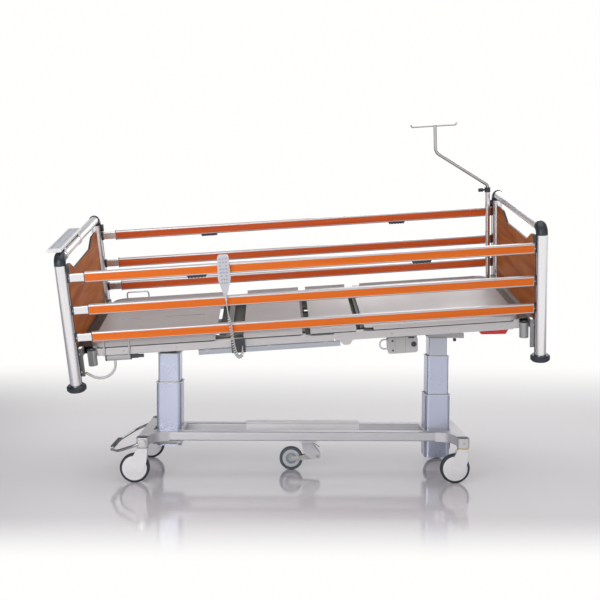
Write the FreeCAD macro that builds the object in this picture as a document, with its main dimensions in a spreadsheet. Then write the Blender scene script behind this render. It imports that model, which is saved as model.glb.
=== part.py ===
import FreeCAD, Part
import Sketcher
import os
import re
from math import pi, tan
from FreeCAD import Placement, Rotation, Vector

# An intensive care bed on two telescopic columns, millimetres and degrees.
# X runs to the head end, Y to the far side, Z up. The wheels stand on Z = 0.
# The platform is modelled flat, with the deck top at Z = 0, and is then tilted and rolled as it stands.

SIZES = {
    # where the base stands in the frame, and how the platform is tilted and rolled on it
    "stand_x": 16, "stand_y": 47,
    "head_up": 4, "side_down": 13.4, "roll_axis_x": 10, "roll_axis_height": 772, "deck_rise": 100,
    # castors
    "swivel_x": 810, "swivel_y": 285, "wheel_diameter": 150, "wheel_width": 32, "tyre_depth": 13,
    "wheel_trail": 40, "axle_diameter": 12, "fork_blade": 6, "fork_top": 176, "fork_bridge": 16,
    "fork_width": 50, "stem_diameter": 22, "swivel_ring_diameter": 58, "side_gap": 1,
    "running_gap": 0.06, "seat_gap": 0.3,
    # base frame
    "base_bottom": 183, "base_height": 48, "base_rail_inner": 90, "base_rail_width": 60,
    "beam_inner": 782, "beam_width": 55, "gusset_reach": 90, "base_round": 8, "base_wall": 3.5, "beam_wall": 7,
    "housing_length": 58, "housing_width": 60, "housing_cap": 3, "housing_cap_diameter": 38,
    "cheek_bar": 12, "cover_start": -305, "cover_end": 312, "cover_height": 9,
    "damper_diameter": 22, "damper_length": 126, "damper_y": 120,
    # brake pedal
    "pedal_hub_height": 208, "pedal_hub_diameter": 36, "pedal_hub_width": 15, "pedal_bar": 14,
    "pedal_reach": 186, "pedal_shoulder": 125, "pedal_root": 40, "pedal_fall": 0.4,
    "pedal_shoulder_y": 282, "pedal_front_y": 130, "pedal_root_bend": 60, "pedal_corner_bend": 48, "tread_thickness": 6, "tread_width": 24,
    # fifth wheel
    "steer_wheel_diameter": 125, "steer_wheel_width": 30, "steer_wheel_x": -59, "steer_pivot_x": 82,
    "steer_pivot_height": 78, "steer_pin_diameter": 10, "steer_arm_thickness": 5, "steer_plate": 5,
    "hanger_start": -14, "hanger_end": 72, "hanger_thickness": 8,
    # telescopic columns
    "foot_column_x": -705, "head_column_x": 714.5, "sleeve_length": 132, "sleeve_width": 150,
    "sleeve_corner": 22, "sleeve_wall": 8, "slide_gap": 1, "sleeve_height": 331, "mid_height": 320,
    "inner_height": 300, "foot_sleeve_top": 474, "head_sleeve_top": 413, "foot_mid_top": 627,
    "head_mid_top": 617, "head_inner_top": 716, "rim_height": 4, "rim_lip": 3,
    # pivots on the columns
    "pivot_pin_diameter": 18, "bush_diameter": 28, "ear_thickness": 8, "ear_gap": 2, "ear_length": 56,
    "carriage_start": 663, "carriage_end": 852, "carriage_height": 30, "slot_back": 32,
    "slot_front": 18, "slot_play": 2.5, "carriage_knob_x": 803, "carriage_knob_diameter": 18,
    # tilt beam, in the tilted frame whose X axis is the roll axis
    "beam_drop": 40, "tilt_beam_height": 40, "tilt_beam_half": 40, "tilt_beam_foot": 790,
    "tilt_beam_head": 745, "tilt_beam_wall": 5, "bearing_x": 560, "bearing_length": 46,
    "bearing_block": 16, "bearing_shaft_diameter": 24, "bearing_diameter": 39,
    # lateral actuator
    "roll_actuator_x": 765, "roll_actuator_y": 155, "roll_actuator_diameter": 40,
    "roll_actuator_length": 165, "roll_rod_diameter": 20, "roll_rod_length": 160,
    "roll_rod_rise": 47.2, "roll_actuator_top": -58, "outrigger_width": 40, "outrigger_height": 30,
    "outrigger_reach": 126, "saddle_height": 42, "saddle_depth": 35, "saddle_wrap": 10,
    # platform frame
    "frame_half": 388, "frame_rail_width": 30, "frame_top": -20, "frame_height": 40, "frame_wall": 2.5,
    "frame_foot": 1030, "frame_head": 1020, "narrow_start": -5, "narrow_end": 134,
    "narrow_inset": 4, "cross_width": 46, "end_rail_inner": 1049, "end_rail_outer": 1100,
    "end_rail_top": -8, "end_rail_height": 37, "corner_block_height": 46, "corner_block_top": -10,
    "corner_block_inset": 18,
    "boss_x": 195, "boss_diameter": 60,
    # corner fittings
    "socket_foot_x": 1053, "socket_head_x": 1069, "socket_y": 400, "socket_diameter": 45,
    "socket_bore": 26, "socket_top": -20, "socket_bottom": -99, "plate_start": 1092,
    "plate_end": 1124, "plate_thickness": 9.5, "plate_bottom": -144, "plate_top": -3,
    # accessory rails
    "accessory_start": -536, "accessory_end": 164, "accessory_height": 25, "accessory_thickness": 10,
    "accessory_gap": 3,
    # deck sections
    "deck_half": 390, "deck_sheet": 3, "lip_top": 8, "lip_bottom": -14, "deck_corner": 60,
    "foot_start": -1059, "foot_end": -446, "thigh_start": -308, "thigh_end": -20,
    "seat_start": 20, "seat_end": 245, "back_start": 287, "back_end": 1052, "lip_start": 330,
    "knee_x": -385, "thigh_hinge_x": -16, "back_hinge_x": 283, "hinge_height": -32,
    "hinge_diameter": 16, "hinge_arm": 8, "arm_depth": 16, "arm_gap": 18, "knee_bar_start": -400,
    "knee_bar_end": -371, "deck_slot_width": 7, "stiffener_width": 26, "stiffener_height": 16,
    "stiffener_inset": 12, "deck_slot_y": 10, "toe_slot_start": -976, "toe_slot_end": -948,
    "shin_slot_start": -930, "shin_slot_end": -864, "calf_slot_start": -737, "calf_slot_end": -525,
    # mattress retainers
    "retainer_start": -992, "retainer_end": -870, "retainer_top": 40, "retainer_bottom": -59,
    "retainer_wire": 8, "retainer_bend": 14,
    # section actuators
    "actuator_rod_diameter": 20, "actuator_tube_diameter": 46, "lever_thickness": 6,
    "back_lever": 70, "back_travel": 70, "back_actuator_y": -200, "back_actuator_start": 414,
    "back_actuator_end": 569, "motor_width": 56, "motor_drop": 110,
    "thigh_lever": 70, "thigh_travel": 35, "thigh_actuator_y": 150, "thigh_actuator_start": -330,
    "thigh_actuator_end": -150, "fork_slot_play": 2, "actuator_pin_diameter": 10,
    # foot end motor and its cable
    "foot_motor_start": -995, "foot_motor_end": -867, "foot_motor_tip": -807,
    "foot_motor_diameter": 32, "foot_motor_inset": 17, "foot_motor_collar_diameter": 20,
    "foot_motor_collar": 34, "foot_motor_tip_diameter": 17, "cable_diameter": 13,
    # end boards
    "post_x": 1134, "post_y": 460, "post_diameter": 58, "post_top": 426, "post_bottom": -174,
    "bumper_diameter": 95, "bumper_height": 30, "bumper_round": 7, "bar_height": 460,
    "bar_diameter": 48, "elbow_diameter": 56, "channel_width": 14,
    "channel_depth": 13, "board_thickness": 10, "board_bottom": -28, "board_shoulder": 397,
    "board_dip": 349, "board_dip_half": 200, "board_shoulder_half": 290, "board_bend": 60,
    # guard rails
    "rail_height": 50, "rail_depth": 26, "rail_wall": 3, "rail_start": -1025,
    "rail_round": 6, "strip_height": 34, "strip_depth": 2, "strip_proud": 0.8, "strip_inset": 2,
    "upper_rail": 363, "middle_rail": 203, "lower_rail": 67, "insert_height": 38,
    "insert_depth": 18, "slider_play": 0.5, "rail_cap": 3, "rail_cap_lip": 1.5,
    "bracket_length": 8, "bracket_height": 44, "bracket_depth": 22,
    "foot_catch_x": -501, "head_catch_x": 562, "catch_length": 94, "catch_height": 11,
    "catch_depth": 20, "catch_rib": 3,
    # attendant panel, handset and its cord
    "panel_overhang": 16, "panel_width": 68, "panel_near": -466, "panel_far": 14,
    "panel_bottom": 490, "panel_thickness": 16, "clamp_width": 42, "clamp_length": 30,
    "clamp_near_y": -385, "clamp_far_y": -56,
    "handset_x": -371, "handset_width": 60, "handset_head_width": 52, "handset_tail_width": 24,
    "handset_bottom": 249, "handset_belly": 320, "handset_top": 433, "handset_depth": 26,
    "handset_round": 14, "handset_tail_round": 10, "handset_belly_round": 60, "key_size": 9, "key_pitch_x": 17, "key_pitch_z": 17,
    "key_proud": 1.5, "relief_diameter": 15, "relief_bottom": 211, "cord_diameter": 18,
    "socket_block_start": -371, "socket_block_end": -304, "socket_block_depth": 12,
    "socket_block_top": -15, "socket_block_bottom": -85,
    # infusion pole
    "pole_diameter": 25.8, "pole_top": 486, "pole_rod_diameter": 18, "pole_collar_diameter": 32,
    "pole_collar_height": 26, "pole_bend_low": 525, "pole_bend_high": 724, "pole_reach": 287,
    "pole_rod_foot": 100, "hook_start": 648, "hook_end": 903,
    "hook_height": 868, "hook_bar": 9, "hook_tip_rise": 14, "pole_knob_diameter": 20, "pole_knob_length": 34,
    # emergency back release
    "release_pivot_x": 871, "release_end_x": 998, "release_height": -70, "release_offset": 14,
    "release_thickness": 14, "release_shaft_diameter": 12,
}

# Places worked out from the sizes above, as formulas.
PLACES = {
    "axle_height": "wheel_diameter / 2",
    "fork_inner": "wheel_width / 2 + side_gap",
    "fork_outer": "fork_inner + fork_blade",
    "base_top": "base_bottom + base_height",
    "base_rail_outer": "base_rail_inner + base_rail_width",
    "beam_outer": "beam_inner + beam_width",
    "hub_y": "swivel_y + housing_width / 2 + seat_gap",
    "hub_outer_y": "hub_y + pedal_hub_width",
    "mid_length": "sleeve_length - 2 * (sleeve_wall + slide_gap)",
    "mid_width": "sleeve_width - 2 * (sleeve_wall + slide_gap)",
    "mid_corner": "sleeve_corner - sleeve_wall - slide_gap",
    "inner_length": "mid_length - 2 * (sleeve_wall + slide_gap)",
    "inner_width": "mid_width - 2 * (sleeve_wall + slide_gap)",
    "inner_corner": "mid_corner / 2",
    "foot_inner_top": "foot_mid_top + rim_height",
    "foot_pivot_x": "(foot_column_x - roll_axis_x - beam_drop * sin(head_up)) / cos(head_up)",
    "head_pivot_x": "(head_column_x - roll_axis_x - beam_drop * sin(head_up)) / cos(head_up)",
    "foot_pivot_height": "roll_axis_height + foot_pivot_x * sin(head_up) - beam_drop * cos(head_up)",
    "head_pivot_height": "roll_axis_height + head_pivot_x * sin(head_up) - beam_drop * cos(head_up)",
    "ear_inner": "tilt_beam_half + ear_gap",
    "ear_outer": "ear_inner + ear_thickness",
    "carriage_base": "head_inner_top + sleeve_wall",
    "tilt_beam_top": "tilt_beam_height / 2 - beam_drop",
    "tilt_beam_bottom": "0 - tilt_beam_height / 2 - beam_drop",
    "frame_bottom": "frame_top - frame_height",
    "frame_inner": "frame_half - frame_rail_width",
    "end_rail_half": "socket_y - socket_diameter / 2",
    "plate_outer": "post_y - post_diameter / 2 + 1.5",
    "post_inner": "post_x - post_diameter / 2",
    "hinge_arm_outer": "frame_inner - arm_gap",
    "arm_inner": "hinge_arm_outer - hinge_arm",
    "stiffener_half": "arm_inner - stiffener_inset",
    "foot_motor_y": "foot_motor_inset - frame_half",
    "release_y": "frame_inner + release_offset",
    "rail_end": "post_inner - slider_play - bracket_length",
    "rail_face": "post_y + rail_depth / 2",
    "strip_face": "rail_face + strip_proud",
    "handset_back": "0 - strip_face - seat_gap",
    "handset_front": "handset_back - handset_depth",
    "back_lean": "back_travel / 2",
    "thigh_lean": "thigh_travel / 2",
    "back_pin_x": "back_hinge_x - back_lever * sin(back_lean)",
    "back_pin_z": "hinge_height - back_lever * cos(back_lean)",
    "back_rod_z": "hinge_height - back_lever * (1 + cos(back_lean)) / 2",
    "thigh_pin_x": "thigh_hinge_x + thigh_lever * sin(thigh_lean)",
    "thigh_pin_z": "hinge_height - thigh_lever * cos(thigh_lean)",
    "thigh_rod_z": "hinge_height - thigh_lever * (1 + cos(thigh_lean)) / 2",
    "panel_inner": "post_x - panel_overhang",
    "panel_outer": "panel_inner + panel_width",
    "pole_x": "socket_head_x",
    "pole_rod_top": "hook_height - hook_bar",
    "board_half": "post_y - post_diameter / 2",
    "bar_half": "post_y - (bar_height - post_top)",
}

# The three frames in which pieces are drawn: the base, the tilted beam and the rolled platform.
BASE = "placement(vector(stand_x; stand_y; 0); rotation(vector(0; 0; 1); 0))"
BEAM = ("placement(vector(stand_x + roll_axis_x; stand_y; roll_axis_height);"
        " rotation(vector(0; 1; 0); 0 - head_up))")
PLATFORM = (BEAM + " * placement(vector(0; 0; 0); rotation(vector(1; 0; 0); side_down))"
            " * placement(vector(0; 0; deck_rise); rotation(vector(1; 0; 0); 0))")

AIMS = {
    "x": Rotation(Vector(0, 1, 0), 90),
    "y": Rotation(Vector(1, 0, 0), -90),
    "z": Rotation(),
}
PLANES = {"xy": ("XY_Plane", "xy", 1), "xz": ("XZ_Plane", "xz", -1), "yz": ("YZ_Plane", "yz", 1)}

doc = FreeCAD.newDocument("IntensiveCareBed")
sheet = doc.addObject("Spreadsheet::Sheet", "Sizes")
for row, (size_name, number) in enumerate(SIZES.items(), start=1):
    sheet.set(f"A{row}", size_name)
    sheet.set(f"B{row}", str(number))
    sheet.setAlias(f"B{row}", size_name)
doc.recompute()
nodes = []


def bound(formula):
    """Rewrite a formula so that its sizes are read from the sheet and its places are worked out."""
    def swap(match):
        word = match.group()
        if word in PLACES:
            return "(" + bound(PLACES[word]) + ")"
        return "Sizes." + word if word in SIZES else word
    return re.sub(r"[a-z][a-z_]+", swap, str(formula))


def value(formula):
    """The number that a formula gives with the present sizes."""
    return float(sheet.evalExpression(bound(formula)))


def point(place):
    return Vector(*[value(formula) for formula in place])


def minus(formula):
    return f"0 - ({formula})"


def span(centre, width):
    """The two limits of a width about a centre."""
    return f"({centre}) - ({width}) / 2", f"({centre}) + ({width}) / 2"


def reach(start, length):
    return start, f"({start}) + ({length})"


def box(x, y, z):
    """A block between two limits along each axis."""
    block = doc.addObject("Part::Box", "block")
    for side, letter, (low, high) in zip(("Length", "Width", "Height"), "xyz", (x, y, z)):
        block.setExpression(side, bound(f"({high}) - ({low})"))
        block.setExpression(f"Placement.Base.{letter}", bound(low))
    return block


def rod(axis, diameter, along, at):
    """A round bar between two limits along an axis, at a place across it."""
    bar = doc.addObject("Part::Cylinder", "bar")
    bar.Placement = Placement(Vector(), AIMS[axis])
    low, high = along
    bar.setExpression("Radius", bound(f"({diameter}) / 2"))
    bar.setExpression("Height", bound(f"({high}) - ({low})"))
    places = dict(zip([letter for letter in "xyz" if letter != axis], at))
    places[axis] = low
    for letter, formula in places.items():
        bar.setExpression(f"Placement.Base.{letter}", bound(formula))
    return bar


def cut(base, *tools):
    """The base with each tool taken out of it."""
    for tool in tools:
        result = doc.addObject("Part::Cut", "cut")
        result.Base = base
        result.Tool = tool
        base = result
    return base


def tube(axis, diameter, bore, along, at):
    return cut(rod(axis, diameter, along, at), rod(axis, bore, along, at))


def corner_edges(shape, plane, corner):
    """Names of the straight edges that stand on a corner of the outline."""
    found = []
    for number, edge in enumerate(shape.Edges, start=1):
        ends = [vertex.Point for vertex in edge.Vertexes]
        if len(ends) == 2 and all(abs(getattr(end, letter) - place) < 0.01
                                  for end in ends for letter, place in zip(plane, corner)):
            found.append(f"Edge{number}")
    return found


def outline_sketch(body, plane, start, points):
    """A closed outline on one of the body's own planes, its corners held by the sizes."""
    role, letters, sense = PLANES[plane]
    sketch = body.newObject("Sketcher::SketchObject", "outline")
    sketch.AttachmentSupport = [(next(f for f in body.Origin.OriginFeatures if f.Role == role), "")]
    sketch.MapMode = "FlatFace"
    sketch.setExpression("AttachmentOffset.Base.z", bound(start if sense > 0 else minus(start)))
    corners = [(value(across), value(up)) for across, up in points]
    for number, corner in enumerate(corners):
        after = corners[(number + 1) % len(corners)]
        sketch.addGeometry(Part.LineSegment(Vector(*corner, 0), Vector(*after, 0)))
    for number in range(len(corners)):
        sketch.addConstraint(Sketcher.Constraint("Coincident", number, 2, (number + 1) % len(corners), 1))
    for number, (formulas, corner) in enumerate(zip(points, corners)):
        for kind, formula, place in zip(("DistanceX", "DistanceY"), formulas, corner):
            held = sketch.addConstraint(Sketcher.Constraint(kind, -1, 1, number, 1, place))
            sketch.setExpression(f"Constraints[{held}]", bound(formula))
    return sketch


def slab(plane, across, points, rounds=None):
    """A body padded from an outline between two limits, with some of its corners rounded."""
    body = doc.addObject("PartDesign::Body", "slab")
    low, high = across
    sense = PLANES[plane][2]
    sketch = outline_sketch(body, plane, low if sense > 0 else high, points)
    solid = body.newObject("PartDesign::Pad", "pad")
    solid.Profile = sketch
    solid.setExpression("Length", bound(f"({high}) - ({low})"))
    for radius, corners in (rounds or {}).items():
        doc.recompute()
        names = []
        for corner in corners:
            names += corner_edges(solid.Shape, plane, [value(formula) for formula in points[corner]])
        base = solid
        solid = body.newObject("PartDesign::Fillet", "round")
        solid.Base = (base, names)
        solid.setExpression("Radius", bound(radius))
    return body


def rectangle(x, y):
    return [(x[0], y[0]), (x[1], y[0]), (x[1], y[1]), (x[0], y[1])]


def bar_stock(plane, across, wide, tall, radius):
    """A bar of rectangular section with its four long edges rounded."""
    return slab(plane, across, rectangle(wide, tall), {radius: range(4)})


def hollow_bar(axis, along, wide, tall, radius, wall):
    """A rectangular tube along X or Y."""
    inner = [(f"({low}) + {wall}", f"({high}) - {wall}") for low, high in (wide, tall)]
    if axis == "x":
        return cut(bar_stock("yz", along, wide, tall, radius), box(along, *inner))
    return cut(bar_stock("xz", along, wide, tall, radius), box(inner[0], along, inner[1]))


def turned(axis, at, points):
    """A body turned from an outline of (radius, place along the axis) points."""
    body = doc.addObject("PartDesign::Body", "turned")
    sketch = outline_sketch(body, "xz", "0", points)
    solid = body.newObject("PartDesign::Revolution", "turn")
    solid.Profile = sketch
    solid.ReferenceAxis = (sketch, ["V_Axis"])
    solid.Angle = 360
    body.Placement = Placement(Vector(), AIMS[axis])
    for letter, formula in zip([letter for letter in "xyz" if letter != axis], at):
        body.setExpression(f"Placement.Base.{letter}", bound(formula))
    return body


def bent_path(route, radii):
    """Straight runs joined by tangent arcs, one radius for each inner point of the route."""
    corners = [point(place) for place in route]
    edges = []
    start = corners[0]
    for before, corner, after, radius in zip(corners, corners[1:], corners[2:], radii):
        back = (before - corner).normalize()
        ahead = (after - corner).normalize()
        setback = radius * tan((pi - back.getAngle(ahead)) / 2)
        enter = corner + back * setback
        leave = corner + ahead * setback
        middle = (back + ahead).normalize()
        centre_gap = (radius ** 2 + setback ** 2) ** 0.5
        crown = corner + middle * (centre_gap - radius)
        edges.append(Part.LineSegment(start, enter).toShape())
        edges.append(Part.Arc(enter, crown, leave).toShape())
        start = leave
    edges.append(Part.LineSegment(start, corners[-1]).toShape())
    return Part.Wire(edges)


def bent_bar(diameter, route, radii):
    """A round bar or cable swept along a bent path."""
    path = bent_path(route, radii)
    first = path.Edges[0]
    ring = Part.Circle(first.Vertexes[0].Point, first.tangentAt(first.FirstParameter), value(diameter) / 2)
    bar = doc.addObject("Part::Feature", "bent_bar")
    bar.Shape = path.makePipeShell([Part.Wire(ring.toShape())], True, True)
    return bar


def mirrored(solid, normal=Vector(0, 1, 0)):
    """The same piece on the other side of the bed."""
    other = doc.addObject("Part::Mirroring", "mirrored")
    other.Source = solid
    other.Normal = normal
    return other


def both_sides(*solids):
    return [each for solid in solids for each in (solid, mirrored(solid))]


def both_ends(*solids):
    return [each for solid in solids for each in (solid, mirrored(solid, Vector(1, 0, 0)))]


def moved(solid, x="0", y="0", z="0"):
    """A copy of a piece, shifted."""
    copy = doc.addObject("Part::Compound", "moved")
    copy.Links = [solid]
    for letter, formula in zip("xyz", (x, y, z)):
        copy.setExpression(f"Placement.Base.{letter}", bound(formula))
    return copy


def node(label, frame, *solids):
    """One named sub-part of the bed, placed in the bed's frame."""
    part = doc.addObject("Part::Compound", label)
    part.Label = label
    part.Links = list(solids)
    part.setExpression("Placement", bound(frame))
    nodes.append(part)
    return part


def base_frame():
    """Two long rails between two cross-beams, which reach out to the castor housings."""
    rail = hollow_bar("x", (minus("beam_inner"), "beam_inner"), ("base_rail_inner", "base_rail_outer"),
                      ("base_bottom", "base_top"), "base_round", "base_wall")
    root = "swivel_y - housing_width / 2"
    half = [
        ("beam_inner", root),
        ("beam_inner", "base_rail_outer + gusset_reach"),
        ("beam_inner - gusset_reach / 4", "base_rail_outer + gusset_reach / 4"),
        ("beam_inner - gusset_reach", "base_rail_outer"),
        ("beam_inner", "base_rail_outer"),
    ]
    outline = [("beam_outer", minus(root)), ("beam_outer", root)] + half
    outline += [(x, minus(y)) for x, y in reversed(half)]
    beam = slab("xy", ("base_bottom", "base_top"), outline, {"gusset_reach * 0.6": [4, 9]})
    channel = box(("beam_inner + beam_wall", "beam_outer - beam_wall"), (minus(f"{root} - beam_wall"), f"{root} - beam_wall"),
                  ("base_bottom", "base_top - beam_wall"))
    cheeks = []
    for column, inward in (("foot_column_x", "1"), ("head_column_x", "-1")):
        cheek = box(span(column, "sleeve_length"), ("sleeve_width / 2", "base_rail_inner"),
                    ("base_bottom", "base_top"))
        edge = f"{column} + {inward} * (sleeve_length + cheek_bar) / 2"
        cheeks += both_sides(cheek)
        cheeks.append(box(span(edge, "cheek_bar"), (minus("base_rail_inner"), "base_rail_inner"),
                          ("base_bottom", "base_top")))
    height = "base_bottom - damper_diameter / 2"
    start = minus("beam_inner")
    damper = rod("x", "damper_diameter", reach(start, "damper_length"), (minus("damper_y"), height))
    tip = rod("x", "damper_diameter / 2", (f"{start} + damper_length", f"{start} + damper_length + 22"),
              (minus("damper_y"), height))
    node("base_frame", BASE, *both_sides(rail), *both_ends(cut(beam, channel)), *cheeks, damper, tip)


def base_rail_cover():
    cover = slab("yz", ("cover_start", "cover_end"),
                 rectangle(("base_rail_inner", "base_rail_outer"), ("base_top", "base_top + cover_height")),
                 {"cover_height / 2": [2, 3]})
    node("base_rail_cover", BASE, cover)


def four_corners(piece):
    """The same piece at the four castors, with the name of each place."""
    for end, x in (("foot", minus("swivel_x")), ("head", "swivel_x")):
        for side, y in (("near", minus("swivel_y")), ("far", "swivel_y")):
            yield f"{end}_{side}", moved(piece, x, y)


def castors():
    """Each castor is a housing on the beam, a fork that swivels in it and a wheel on the fork's axle."""
    block = bar_stock("xy", ("base_bottom", "base_top"), span("0", "housing_length"),
                      span("0", "housing_width"), "base_round * 1.5")
    bore = rod("z", "stem_diameter + 2 * running_gap", ("base_bottom", "base_top - base_round"), ("0", "0"))
    cap = rod("z", "housing_cap_diameter", reach("base_top", "housing_cap"), ("0", "0"))
    housing = doc.addObject("Part::Compound", "housing")
    housing.Links = [cut(block, bore), cap]
    node("caster_housings", BASE, *[copy for _, copy in four_corners(housing)])

    half = "fork_width / 2"
    axle_x = minus("wheel_trail")
    blade = slab("xz", ("fork_inner", "fork_outer"), [
        (minus(half), "fork_top"), (half, "fork_top"), (f"{half} - 4", "axle_height + fork_width * 0.7"),
        ("fork_width * 0.1", "axle_height - fork_width * 0.35"),
        (f"{axle_x} - fork_width * 0.5", "axle_height - fork_width * 0.35"),
        (f"{axle_x} - fork_width * 0.42", "axle_height + fork_width * 0.7"),
    ], {"fork_width * 0.32": [3, 4], "fork_width * 0.2": [2, 5]})
    bridge = box(span("0", "fork_width"), (minus("fork_inner"), "fork_inner"),
                 ("fork_top - fork_bridge", "fork_top"))
    stem = rod("z", "stem_diameter", ("fork_top", "base_top - base_round * 1.5"), ("0", "0"))
    ring = tube("z", "swivel_ring_diameter", "stem_diameter", ("fork_top", "base_bottom - seat_gap"), ("0", "0"))
    axle = rod("y", "axle_diameter", (minus("fork_inner"), "fork_inner"), (axle_x, "axle_height"))
    fork = doc.addObject("Part::Compound", "fork")
    fork.Links = both_sides(blade) + [bridge, stem, ring, axle]
    for place, copy in four_corners(fork):
        node(f"caster_fork_{place}", BASE, copy)

    rim = "wheel_diameter / 2"
    wheel = turned("y", (axle_x, "axle_height"), [
        ("axle_diameter / 2 + running_gap", minus("wheel_width / 2")),
        (f"{rim} - tyre_depth", minus("wheel_width / 2")),
        (f"{rim} - tyre_depth / 2", "0 - wheel_width / 2 + 2"),
        (rim, "0 - wheel_width / 4"), (rim, "wheel_width / 4"),
        (f"{rim} - tyre_depth / 2", "wheel_width / 2 - 2"),
        (f"{rim} - tyre_depth", "wheel_width / 2"),
        ("axle_diameter / 2 + running_gap", "wheel_width / 2"),
    ])
    for place, copy in four_corners(wheel):
        node(f"caster_wheel_{place}", BASE, copy)


def brake_pedal():
    """A foot loop on two hubs, with a ribbed tread along its front bar."""
    def at(outward, y):
        return f"0 - swivel_x - ({outward})", y, f"pedal_hub_height - pedal_fall * ({outward})"
    arm_y = "(hub_y + hub_outer_y) / 2"
    route = [at("0", minus(arm_y)), at("pedal_root", minus(arm_y)), at("pedal_shoulder", minus("pedal_shoulder_y")),
             at("pedal_reach", minus("pedal_front_y")), at("pedal_reach", "pedal_front_y"),
             at("pedal_shoulder", "pedal_shoulder_y"), at("pedal_root", arm_y), at("0", arm_y)]
    root_bend, corner_bend = value("pedal_root_bend"), value("pedal_corner_bend")
    loop = bent_bar("pedal_bar", route, [root_bend, root_bend, corner_bend, corner_bend, root_bend, root_bend])
    hub_eye = rod("y", "pedal_hub_diameter", ("hub_y", "hub_outer_y"), (minus("swivel_x"), "pedal_hub_height"))
    front_x, _, front_z = at("pedal_reach", "0")
    tread_top = f"{front_z} + pedal_bar / 2"
    tread = slab("xz", (minus("pedal_front_y - 8"), "pedal_front_y - 8"), [
        (f"{front_x} - tread_width / 2", tread_top), (f"{front_x} + tread_width / 2", tread_top),
        (f"{front_x} + tread_width / 2", f"{tread_top} + tread_thickness / 2"),
        (f"{front_x} + tread_width / 4", f"{tread_top} + tread_thickness"),
        (f"{front_x}", f"{tread_top} + tread_thickness / 2"),
        (f"{front_x} - tread_width / 4", f"{tread_top} + tread_thickness"),
        (f"{front_x} - tread_width / 2", f"{tread_top} + tread_thickness / 2"),
    ])
    node("brake_pedal", BASE, cut(loop, hub_eye, mirrored(hub_eye)), *both_sides(hub_eye), tread)


def fifth_wheel():
    """A sprung steering wheel under the middle, on an arm that pivots in a hanger."""
    hanger_bottom = "base_bottom - hanger_thickness"
    arm_inner = "steer_wheel_width / 2 + 2 * side_gap"
    arm_outer = f"{arm_inner} + steer_arm_thickness"
    plate_inner = f"{arm_outer} + side_gap"
    plate_outer = f"{plate_inner} + steer_plate"
    pivot = ("steer_pivot_x", "steer_pivot_height")
    hub = ("steer_wheel_x", "steer_wheel_diameter / 2")
    pin_hole = "(steer_pin_diameter + 2 * running_gap)"

    top = box(("hanger_start", "hanger_end"), (minus("base_rail_outer"), "base_rail_outer"),
              (hanger_bottom, "base_bottom"))
    plate = slab("xz", (plate_inner, plate_outer), [
        ("hanger_start + 4", hanger_bottom), ("hanger_start + 46", hanger_bottom),
        ("steer_pivot_x + 14", "steer_pivot_height + 12"), ("steer_pivot_x + 12", "steer_pivot_height - 14"),
        ("steer_pivot_x - 30", "steer_pivot_height - 16"), ("hanger_start + 22", "steer_pivot_height + 14"),
    ], {"10": [2, 3]})
    pin_eye = rod("y", "steer_pin_diameter", (plate_inner, plate_outer), pivot)
    pin = rod("y", "steer_pin_diameter", (minus(plate_outer), plate_outer), pivot)
    head = rod("y", "steer_pin_diameter * 1.8", reach(plate_outer, "4"), pivot)
    strut_y = f"0 - ({plate_outer}) - 4"
    strut = bent_bar("5", [("hanger_start + 62", strut_y, hanger_bottom),
                           ("hanger_start + 62", strut_y, f"{hanger_bottom} - 16"),
                           ("steer_pivot_x + 10", strut_y, "steer_pivot_height + 50")], [8])
    node("fifth_wheel_bracket", BASE, top, *both_sides(cut(plate, pin_eye), head), pin, strut)

    arm = slab("xz", (arm_inner, arm_outer), [
        ("steer_wheel_x - 13", "steer_wheel_diameter / 2 + 13"), ("steer_wheel_x - 13", "steer_wheel_diameter / 2 - 13"),
        ("steer_wheel_x + 12", "steer_wheel_diameter / 2 - 13"), ("steer_pivot_x - 8", "steer_pivot_height - 15"),
        ("steer_pivot_x + 15", "steer_pivot_height - 15"), ("steer_pivot_x + 15", "steer_pivot_height + 15"),
        ("steer_pivot_x - 20", "steer_pivot_height + 15"), ("steer_wheel_x + 50", "steer_wheel_diameter / 2 + 16"),
    ], {"12": [0, 1, 4, 5]})
    drilled = cut(arm, rod("y", pin_hole, (arm_inner, arm_outer), pivot),
                  rod("y", "steer_pin_diameter", (arm_inner, arm_outer), hub))
    axle = rod("y", "steer_pin_diameter", (minus(arm_outer), arm_outer), hub)
    node("fifth_wheel_arm", BASE, *both_sides(drilled), axle)

    rim = "steer_wheel_diameter / 2"
    half = "steer_wheel_width / 2"
    wheel = turned("y", hub, [
        (f"{pin_hole} / 2", f"0 - {half} - side_gap"), ("14", f"0 - {half} - side_gap"), ("16", f"0 - {half} + 5"),
        (f"{rim} - 16", f"0 - {half} + 5"), (f"{rim} - 12", f"0 - {half}"), (f"{rim} - 4", f"0 - {half} + 1"),
        (rim, f"0 - {half} / 2"), (rim, f"{half} / 2"), (f"{rim} - 4", f"{half} - 1"), (f"{rim} - 12", half),
        (f"{rim} - 16", f"{half} - 5"), ("16", f"{half} - 5"), ("14", f"{half} + side_gap"),
        (f"{pin_hole} / 2", f"{half} + side_gap"),
    ])
    node("fifth_wheel", BASE, wheel)


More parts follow.
